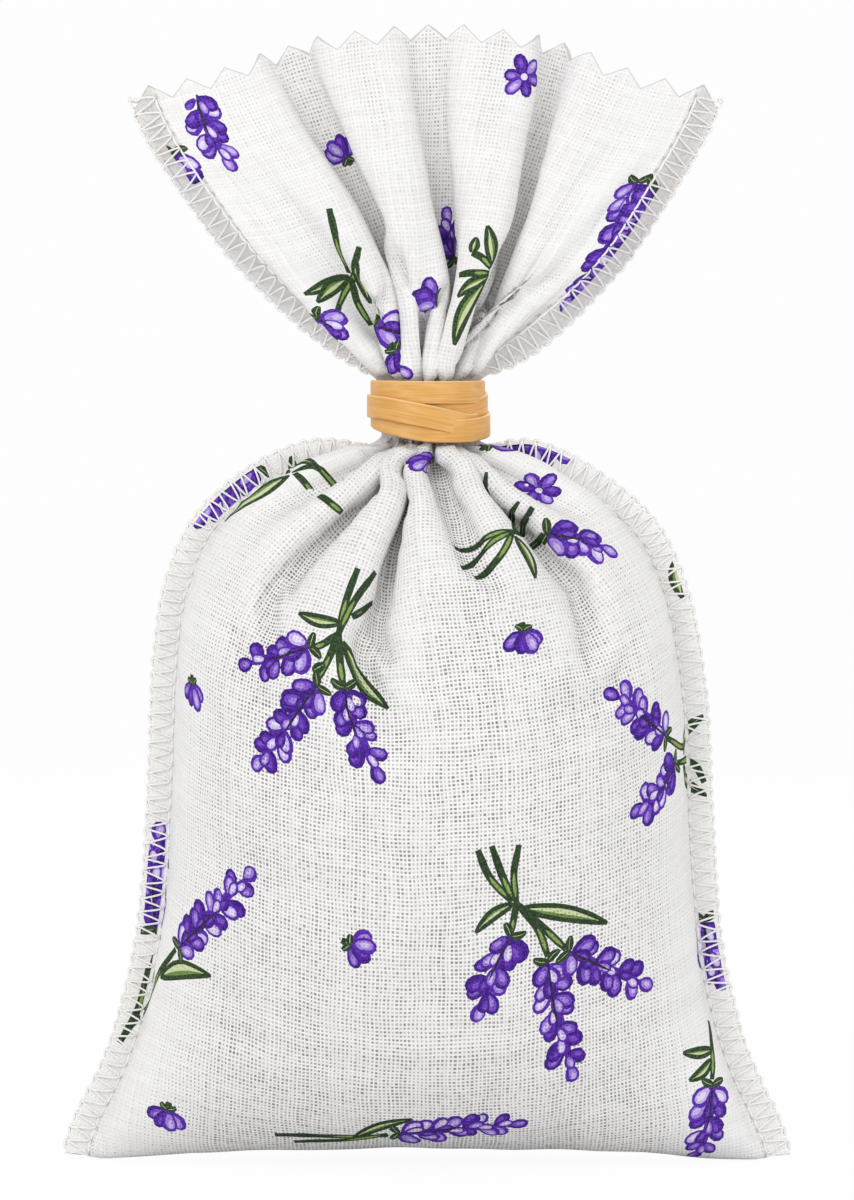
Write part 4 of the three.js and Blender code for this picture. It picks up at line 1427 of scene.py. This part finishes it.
def bud(place, direction, size):
    """One dried lavender bud: a small ribbed barrel."""
    direction = unit(direction)
    guide = np.array([0.0, 0.0, 1.0]) if abs(direction[2]) < GUIDE_LIMIT else np.array([1.0, 0.0, 0.0])
    side = unit(np.cross(direction, guide))
    other = np.cross(direction, side)
    points = []
    for along, wide in BUD_OUTLINE:
        for j in range(BUD_SIDES):
            turn = 2 * math.pi * j / BUD_SIDES
            reach = BUD_PLUMPNESS * wide * (1.0 if j % 2 else BUD_GROOVE)
            out = side * math.cos(turn) + other * math.sin(turn)
            points.append(place + size * (direction * along + reach * out))
    return np.array(points), ring_faces(len(BUD_OUTLINE), BUD_SIDES)


def heap_ring(cloth, row):
    """The heap's outline at one row of the cloth, a little inside it."""
    reach = NEEDLE_LINE - HEAP_MARGIN
    u = np.linspace(-reach, reach, HEAP_SIDES // 2)
    front = cloth.places(u, np.full_like(u, row))
    back = cloth.places(u[::-1], np.full_like(u, -row))
    ring = np.concatenate([front, back])
    depth = np.abs(ring[:, 1])
    for _ in range(HEAP_SMOOTHING):
        depth = np.minimum(depth, np.minimum(np.roll(depth, 1), np.roll(depth, -1)))
    top = 1 - HEAP_TAPER * max(0.0, (row / HEAP_TOP - HEAP_TAPER_FROM) / (1 - HEAP_TAPER_FROM)) ** 2
    ring[:, 1] = np.sign(ring[:, 1]) * np.maximum(depth * HEAP_SHARE - HEAP_ROOM, HEAP_LEAST) * top
    ring[:, 0] *= HEAP_SHARE * top
    height = ring[:, 2]
    ring[:, 2] = height + HEAP_LEVELLING * (height.mean() - height) + HEAP_LIFT
    return ring


def lavender_heap(cloth):
    """The dried flowers inside: a lumpy mass with loose buds lying on it."""
    draw = np.random.default_rng(FILL_SEED)
    body = np.array([heap_ring(cloth, row) for row in np.linspace(HEAP_FOOT, HEAP_TOP, HEAP_LEVELS)])
    lumps = draw.standard_normal((HEAP_LEVELS, HEAP_SIDES))
    lumps = (lumps + np.roll(lumps, 1, axis=1) + np.roll(lumps, -1, axis=1)) / 3
    centre = body.mean(axis=1, keepdims=True)
    body = centre + (body - centre) * (1 + LUMPS * lumps[..., None])
    parts = [(body.reshape(-1, 3), ring_faces(HEAP_LEVELS, HEAP_SIDES))]
    for _ in range(BUDS):
        k = draw.integers(1, HEAP_LEVELS - 1)
        j = draw.integers(0, HEAP_SIDES)
        place = body[k, j] + draw.uniform(-BUD_SCATTER, BUD_SCATTER, 3)
        parts.append(bud(place, draw.standard_normal(3), draw.uniform(*BUD_SIZE_RANGE)))
    return mesh_piece("dried_lavender", *joined(parts))


class Nodes:
    """Short ways to place and join shader nodes in one tree."""

    def __init__(self, tree):
        self.tree = tree

    def add(self, kind, **settings):
        """A new node with its settings."""
        node = self.tree.nodes.new(kind)
        for name, value in settings.items():
            setattr(node, name, value)
        return node

    def feed(self, socket, value):
        """Joins another socket to this one, or gives it a plain value."""
        if isinstance(value, bpy.types.NodeSocket):
            self.tree.links.new(value, socket)
        else:
            socket.default_value = value

    def fed(self, node, values):
        """The first output of a node whose inputs get these values in their order."""
        for socket, value in zip(node.inputs, values):
            self.feed(socket, value)
        return node.outputs[0]

    def math(self, operation, *values):
        """An operation on numbers."""
        return self.fed(self.add("ShaderNodeMath", operation=operation), values)

    def plus(self, first, second):
        """The sum of two numbers."""
        return self.math("ADD", first, second)

    def minus(self, first, second):
        """The difference of two numbers."""
        return self.math("SUBTRACT", first, second)

    def times(self, first, second):
        """The product of two numbers."""
        return self.math("MULTIPLY", first, second)

    def vector(self, operation, *values):
        """An operation on places and directions."""
        return self.fed(self.add("ShaderNodeVectorMath", operation=operation), values)

    def scaled(self, place, factor):
        """A place times a number."""
        made = self.vector("SCALE", place)
        self.feed(made.node.inputs["Scale"], factor)
        return made

    def parts(self, place):
        """The numbers of a place, by axis."""
        node = self.add("ShaderNodeSeparateXYZ")
        self.feed(node.inputs[0], place)
        return node.outputs

    def ramp(self, value, low, high, to_low=0.0, to_high=1.0):
        """A smooth step from one value to another."""
        node = self.add("ShaderNodeMapRange", interpolation_type="SMOOTHSTEP")
        names = ("Value", "From Min", "From Max", "To Min", "To Max")
        for name, part in zip(names, (value, low, high, to_low, to_high)):
            self.feed(node.inputs[name], part)
        return node.outputs["Result"]

    def noise(self, place, scale, detail=2.0):
        """Smooth noise."""
        node = self.add("ShaderNodeTexNoise")
        self.feed(node.inputs["Vector"], place)
        node.inputs["Scale"].default_value = scale
        node.inputs["Detail"].default_value = detail
        return node.outputs["Fac"]

    def drawn_out_noise(self, place, stretch, detail=2.0):
        """Smooth noise with its own scale along each axis."""
        return self.noise(self.vector("MULTIPLY", place, stretch), 1.0, detail)

    def speckle(self, value):
        """A random number for each value."""
        node = self.add("ShaderNodeTexWhiteNoise", noise_dimensions="1D")
        self.feed(node.inputs["W"], value)
        return node.outputs["Value"]

    def mix(self, share, first, second):
        """A blend of two colours."""
        node = self.add("ShaderNodeMix", data_type="RGBA")
        self.feed(node.inputs["Factor"], share)
        self.feed(node.inputs[6], first)
        self.feed(node.inputs[7], second)
        return node.outputs[2]

    def bump(self, height, strength, distance):
        """A normal roughened by a height, whose full range is a distance in millimetres."""
        node = self.add("ShaderNodeBump")
        node.inputs["Strength"].default_value = strength
        node.inputs["Distance"].default_value = distance * MM
        self.feed(node.inputs["Height"], height)
        return node.outputs["Normal"]

    def show(self, share, first, second, end):
        """Shows a blend of two shaders at the tree's end."""
        both = self.fed(self.add("ShaderNodeMixShader"), (share, first.outputs[0], second.outputs[0]))
        self.feed(self.tree.nodes[end].inputs["Surface"], both)


def new_group(name, inputs, outputs):
    """An empty shader node group with its sockets."""
    group = bpy.data.node_groups.new(name, "ShaderNodeTree")
    for label, kind, value in inputs:
        socket = group.interface.new_socket(name=label, in_out="INPUT", socket_type=kind)
        if value is not None:
            socket.default_value = value
    for label in outputs:
        group.interface.new_socket(name=label, in_out="OUTPUT", socket_type="NodeSocketFloat")
    tools = Nodes(group)
    return group, tools, tools.add("NodeGroupInput").outputs, tools.add("NodeGroupOutput").inputs


def woven_threads_group():
    """Plain weave over flat places: open holes between threads, thread height and uneven thread tone."""
    sockets = [("Place", "NodeSocketVector", None), ("Pitch", "NodeSocketFloat", WEAVE_PITCH),
               ("Hole size", "NodeSocketFloat", PLAIN_HOLE)]
    group, n, given, out = new_group("woven threads", sockets, ["Holes", "Height", "Tone"])
    drift = n.noise(given["Place"], WEAVE_DRIFT_SCALE, 1.0).node.outputs["Color"]
    drift = n.scaled(n.vector("SUBTRACT", drift, (0.5, 0.5, 0.5)), WEAVE_DRIFT)
    place = n.vector("ADD", given["Place"], drift)
    parts = n.parts(place)
    patch = n.times(n.minus(n.noise(given["Place"], PATCH_SCALE), 0.5), PATCH_UNEVEN)
    threads = []
    tones = []
    gaps = []
    ridges = []
    for k, (axis, uneven) in enumerate(THREAD_UNEVEN):
        count = n.math("DIVIDE", parts[axis], given["Pitch"])
        off = n.math("ABSOLUTE", n.minus(n.math("FRACT", count), 0.5))
        own = n.speckle(n.plus(n.math("FLOOR", count), GAP_SEED * k))
        size = n.plus(given["Hole size"], n.times(n.minus(own, 0.5), uneven))
        size = n.plus(size, patch)
        gaps.append(n.ramp(off, n.plus(size, HOLE_SOFTNESS), n.minus(size, HOLE_SOFTNESS)))
        ridges.append(n.times(off, 2.0))
        threads.append(n.math("ROUND", count))
        tones.append(n.speckle(n.plus(threads[k], TONE_SEED * k)))
    over = n.times(n.math("PINGPONG", n.plus(*threads), 1.0), CROSSING_DIP)
    warp = n.times(ridges[0], n.plus(1.0 - CROSSING_DIP, over))
    weft = n.times(ridges[1], n.minus(1.0, over))
    n.feed(out["Height"], n.math("MAXIMUM", warp, weft))
    grain = n.add("ShaderNodeTexWhiteNoise", noise_dimensions="2D")
    cell = n.vector("FLOOR", n.vector("DIVIDE", place, (WEAVE_PITCH, WEAVE_PITCH, WEAVE_PITCH)))
    n.feed(grain.inputs["Vector"], cell)
    depth = n.ramp(grain.outputs["Value"], 0.0, 1.0, LEAST_HOLE_DEPTH, 1.0)
    n.feed(out["Holes"], n.times(n.times(*gaps), depth))
    slubs = [n.drawn_out_noise(place, stretch) for stretch in SLUB_STRETCHES]
    n.feed(out["Tone"], n.plus(n.times(n.plus(*tones), THREAD_TONE), n.times(n.plus(*slubs), SLUB_TONE)))
    return group


def twisted_yarn_group():
    """Fine slanting plies and fuzz on a thread, as height and tone."""
    sockets = [("Place", "NodeSocketVector", None), ("Scale", "NodeSocketFloat", 1.0)]
    group, n, given, out = new_group("twisted yarn", sockets, ["Height", "Tone"])
    place = n.scaled(given["Place"], given["Scale"])
    wave = n.add("ShaderNodeTexWave", wave_type="BANDS", bands_direction="DIAGONAL")
    n.feed(wave.inputs["Vector"], place)
    wave.inputs["Scale"].default_value = PLY_SCALE
    wave.inputs["Distortion"].default_value = PLY_WAVINESS
    n.feed(out["Height"], wave.outputs["Fac"])
    n.feed(out["Tone"], n.noise(place, FUZZ_SCALE))
    return group


def new_finish(name):
    """A material, the tools for its tree and the inputs of its shader."""
    material = bpy.data.materials.new(name)
    material.use_nodes = True
    shader = material.node_tree.nodes["Principled BSDF"]
    return material, Nodes(material.node_tree), shader.inputs


def placed_group(n, group, **values):
    """A node group placed in a material, with its inputs set."""
    node = n.add("ShaderNodeGroup", node_tree=group)
    for name, value in values.items():
        n.feed(node.inputs[name.replace("_", " ")], value)
    return node.outputs


def distance_to_cut(n, across, along):
    """How far a flat place lies in from the pinked edge of its panel."""
    half_pitch = STRIP_WIDTH / TEETH / 2
    rise = n.math("PINGPONG", n.plus(across, HALF_WIDTH), half_pitch)
    notches = PANEL_LENGTH - TOOTH_DEPTH
    end = n.ramp(along, -PANEL_BLUR, PANEL_BLUR, notches - BACK_TRIM, notches)
    line = n.plus(end, n.times(rise, TOOTH_DEPTH / half_pitch))
    slant = math.cos(math.atan2(TOOTH_DEPTH, half_pitch))
    return n.times(n.minus(line, n.math("ABSOLUTE", along)), slant)


def needle_crease_shade(n, across, along):
    """Painted shade in the crease beside the needle thread, darker at each stitch's prick."""
    beside_needle = n.math("ABSOLUTE", n.minus(across, NEEDLE_LINE - CREASE_OFFSET))
    at_stitch = n.math("PINGPONG", n.minus(along, SEAM_START), STITCH_LENGTH / 2)
    return n.times(n.ramp(beside_needle, *CREASE_RAMP), n.ramp(at_stitch, *PRICK_RAMP))


def washed_ink(n, flat, ink):
    """Ink that has washed out a little in patches."""
    wash = n.drawn_out_noise(flat, WASH_STRETCH, WASH_DETAIL)
    faded = n.add("ShaderNodeGamma")
    n.feed(faded.inputs["Color"], ink)
    faded.inputs["Gamma"].default_value = WASH_GAMMA
    return n.mix(n.ramp(wash, *WASH_RAMP), ink, faded.outputs["Color"])


def open_share(n, in_seam, above_band, to_cut):
    """How open the weave is: less in the seams, at the cut edge and in the ruffle; the holes' painted shade
    is also fainter on the ridges of folds and deeper in their valleys.
    """
    share = n.times(n.ramp(in_seam, 0.0, 1.0, 1.0, SEAM_HOLES), n.ramp(to_cut, CUT_SHADE_LINE, BARE_RIM))
    share = n.times(share, n.ramp(above_band, 0.0, 1.0, POUCH_HOLES, RUFFLE_HOLES))
    # Painted light on the ridges and painted shade in the valleys of folds
    hollow = n.add("ShaderNodeAttribute", attribute_name="hollow").outputs["Fac"]
    return n.times(share, n.ramp(hollow, RIDGE_DEPTH, VALLEY_DEPTH, RIDGE_HOLES_PAINTED_LIGHT, VALLEY_HOLES_PAINTED_SHADE))


def printed_linen(weave_group):
    """Off-white open linen: uneven threads, holes painted grey as the shaded inside seen through them, and
    ink that lies on the threads.
    """
    material, n, shader = new_finish("printed linen")
    flat = n.add("ShaderNodeUVMap", uv_map="flat").outputs[0]
    parts = n.parts(flat)
    across = n.math("ABSOLUTE", parts["X"])
    along = n.math("ABSOLUTE", parts["Y"])
    to_cut = distance_to_cut(n, parts["X"], parts["Y"])
    in_seam = n.ramp(across, NEEDLE_LINE - SEAM_BLUR, NEEDLE_LINE + SEAM_BLUR)
    above_band = n.ramp(along, NECK_FROM, NECK_TO)
    stretched = n.ramp(across, NEEDLE_LINE - TIGHT_WITHIN, NEEDLE_LINE - OPEN_FROM)
    size = n.ramp(stretched, 0.0, 1.0, HOLE_BY_SEAM, HOLE_IN_MIDDLE)
    weave = placed_group(n, weave_group, Place=flat, Pitch=WEAVE_PITCH, Hole_size=size)
    linen = n.mix(n.ramp(weave["Tone"], *LINEN_TONES), LINEN_SHADE, LINEN_LIGHT)
    # Painted light and shade: the seam strip is painted lighter on the pouch and darker on the ruffle
    linen = n.mix(in_seam, linen, n.mix(above_band, POUCH_SEAM_PAINTED_LIGHT, RUFFLE_SEAM_PAINTED_SHADE))
    # Painted shade beside the needle line
    linen = n.mix(needle_crease_shade(n, across, along), linen, CREASE_SHADE)
    # A thin line of painted shade along the pinked cut
    linen = n.mix(n.ramp(to_cut, *CUT_SHADE_RAMP), linen, CREASE_SHADE)
    ink = n.add("ShaderNodeAttribute", attribute_name="ink").outputs
    cover = n.times(ink["Alpha"], n.ramp(weave["Height"], *INK_COVER_RAMP))
    colour = n.mix(cover, linen, washed_ink(n, flat, ink["Color"]))
    # The holes are painted as the shaded inside seen through them
    holes = n.times(weave["Holes"], open_share(n, in_seam, above_band, to_cut))
    dark = n.mix(ink["Alpha"], HOLE_PAINTED_SHADE, n.mix(INKED_HOLE_SHADE, ink["Color"], INK_SHADOW))
    n.feed(shader["Base Color"], n.mix(n.math("MINIMUM", holes, 1.0), colour, dark))
    n.feed(shader["Roughness"], LINEN_ROUGHNESS)
    n.feed(shader["Specular IOR Level"], LINEN_SPECULAR)
    n.feed(shader["Normal"], n.bump(weave["Height"], *LINEN_BUMP))
    return material


def place_in_mm(n):
    """The place of a piece's surface, in millimetres."""
    return n.scaled(n.add("ShaderNodeNewGeometry").outputs["Position"], 1 / MM)


def seam_thread(yarn_group):
    """White sewing thread."""
    material, n, shader = new_finish("white sewing thread")
    yarn = placed_group(n, yarn_group, Place=place_in_mm(n), Scale=YARN_SCALE)
    n.feed(shader["Base Color"], n.mix(n.ramp(yarn["Tone"], *THREAD_TONES), THREAD_SHADE, THREAD_WHITE))
    n.feed(shader["Roughness"], THREAD_ROUGHNESS)
    n.feed(shader["Sheen Weight"], THREAD_SHEEN)
    n.feed(shader["Normal"], n.bump(yarn["Height"], *THREAD_BUMP))
    return material


def tan_rubber():
    """Tan rubber with fine lengthwise streaks, a painted highlight on its upper edge and a painted shadow on
    its lower one.
    """
    material, n, shader = new_finish("tan rubber")
    strap = n.add("ShaderNodeUVMap", uv_map="strap").outputs[0]
    streak = n.drawn_out_noise(strap, STREAK_STRETCH, STREAK_DETAIL)
    cloud = n.drawn_out_noise(strap, CLOUD_STRETCH, CLOUD_DETAIL)
    height = n.parts(strap)["Y"]
    body = n.mix(n.ramp(streak, *STREAK_TONES), RUBBER_DEEP, RUBBER_TAN)
    body = n.mix(n.ramp(cloud, *CLOUD_RAMP), body, RUBBER_PALE_AND_HIGHLIGHT)
    # Painted highlight along the strap's upper edge
    body = n.mix(n.ramp(height, *UPPER_EDGE_HIGHLIGHT_RAMP), body, RUBBER_PALE_AND_HIGHLIGHT)
    # Painted shadow along the strap's lower edge
    n.feed(shader["Base Color"], n.mix(n.ramp(height, *LOWER_EDGE_SHADOW_RAMP), body, RUBBER_EDGE_SHADOW))
    n.feed(shader["Roughness"], n.ramp(streak, *RUBBER_ROUGHNESS_RAMP))
    n.feed(shader["Specular IOR Level"], RUBBER_SPECULAR)
    n.feed(shader["Normal"], n.bump(streak, *RUBBER_BUMP))
    return material


def dried_flowers():
    """Grey-violet dried buds with straw-coloured bits."""
    material, n, shader = new_finish("dried lavender")
    place = place_in_mm(n)
    spots = n.noise(place, SPOT_SCALE, SPOT_DETAIL)
    fibre = n.noise(place, FIBRE_SCALE)
    bud_tone = n.mix(n.ramp(spots, *SPOT_TONES), BUD_VIOLET, BUD_GREY)
    n.feed(shader["Base Color"], n.mix(n.ramp(fibre, *STRAW_RAMP), bud_tone, STRAW))
    n.feed(shader["Roughness"], FLOWER_ROUGHNESS)
    n.feed(shader["Normal"], n.bump(fibre, *FLOWER_BUMP))
    return material


def dress(piece, material, slot, body, *nodes):
    """Gives a piece its material and the body that it moves with, and hides the nodes that it stands for; its
    slot is not used.
    """
    piece.data.materials.append(material)
    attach(piece, body)
    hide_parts(*nodes)
    return piece


def seam_pieces(cloth, material):
    """The three threads of both overlock seams."""
    made = []
    for word, side in (("left", -1), ("right", 1)):
        seed = SEAM_SEED + side
        needle = mesh_piece(f"{word}_needle_stitches", *needle_thread(cloth, side))
        upper = mesh_piece(f"{word}_upper_zigzag", *looper_thread(cloth, side, 1, seed))
        zigzag = looper_thread(cloth, side, -1, seed + LOWER_SEED_STEP)
        knots = edge_knots(cloth, side, seed + KNOT_SEED_STEP)
        lower = mesh_piece(f"{word}_lower_zigzag", *joined([zigzag, knots]))
        for piece, node in ((needle, "needle"), (upper, "upper_looper"), (lower, "lower_looper")):
            made.append(dress(piece, material, "thread", "sachet", f"{word}_{node}_thread"))
    return made


def placed(name, data, place, aim):
    """An object at a place, turned to look at another, both in millimetres."""
    made = bpy.data.objects.new(name, data)
    bpy.context.collection.objects.link(made)
    made.location = Vector(place) * MM
    made.rotation_euler = (Vector(aim) - Vector(place)).to_track_quat("-Z", "Y").to_euler()
    return made


def make_lamps():
    """The soft square lamps round the object."""
    for name, place, power in LAMPS:
        lamp = bpy.data.lights.new(name, "AREA")
        lamp.shape = "SQUARE"
        lamp.size = LAMP_SIZE * MM
        lamp.energy = power
        placed(name, lamp, place, LAMP_AIM)


def make_camera():
    """The camera at the photograph's angle, with a long lens."""
    lens = bpy.data.cameras.new("camera")
    lens.sensor_width = SENSOR_SIZE
    lens.sensor_fit = "AUTO"
    lens.lens = SENSOR_SIZE * VIEW_DISTANCE / FRAME_HEIGHT
    lens.clip_start = NEAREST_SEEN * MM
    lift = math.radians(VIEW_ELEVATION)
    away = Vector((0, -math.cos(lift), math.sin(lift))) * VIEW_DISTANCE
    bpy.context.scene.camera = placed("camera", lens, Vector(VIEW_MIDDLE) + away, VIEW_MIDDLE)


def seen_directly(n):
    """One for what the camera, a mirror or a clear surface shows, zero for light that falls on things."""
    path = n.add("ShaderNodeLightPath").outputs
    direct = path["Is Camera Ray"]
    for name in ("Is Glossy Ray", "Is Transmission Ray"):
        direct = n.math("MAXIMUM", direct, path[name])
    return direct


def make_world():
    """White behind the object, and a softer even light on it."""
    world = bpy.data.worlds.new("studio")
    bpy.context.scene.world = world
    world.use_nodes = True
    n = Nodes(world.node_tree)
    backdrop = world.node_tree.nodes["Background"]
    backdrop.inputs["Strength"].default_value = 1.0
    backdrop.inputs["Color"].default_value = (BACKDROP_WHITE, BACKDROP_WHITE, BACKDROP_WHITE, 1)
    sky = n.add("ShaderNodeBackground")
    sky.inputs["Color"].default_value = WHITE
    sky.inputs["Strength"].default_value = SKY_STRENGTH
    n.show(seen_directly(n), sky, backdrop, "World Output")


def make_floor():
    """A pale floor that shows white and keeps the object's shadow."""
    reach = FLOOR_HALF
    corners = [(-reach, -reach, 0), (reach, -reach, 0), (reach, reach, 0), (-reach, reach, 0)]
    floor = mesh_piece("floor", corners, [(0, 1, 2, 3)])
    material, n, shader = new_finish("white floor")
    n.feed(shader["Base Color"], FLOOR_GREY)
    n.feed(shader["Roughness"], FLOOR_ROUGHNESS)
    white = n.add("ShaderNodeEmission")
    white.inputs["Color"].default_value = WHITE
    plain = material.node_tree.nodes["Principled BSDF"]
    n.show(n.times(seen_directly(n), FLOOR_WHITE), plain, white, "Material Output")
    floor.data.materials.append(material)


grid, rows, across = settled_strip()
cloth = SewnCloth(ripple(grid, rows, across))
shapes = lavender_print(FrontView(cloth))
linen_finish = printed_linen(woven_threads_group())
linen = dress(linen_strip(cloth, shapes), linen_finish, "linen", "sachet", "linen_cloth")
threads = seam_pieces(cloth, seam_thread(twisted_yarn_group()))
band = dress(rubber_strap(), tan_rubber(), "rubber", "band", "rubber_band")
heap = dress(lavender_heap(cloth), dried_flowers(), "lavender", "sachet", "lavender_fill")

make_world()
make_floor()
make_camera()
make_lamps()
bpy.context.scene.view_settings.view_transform = "Standard"
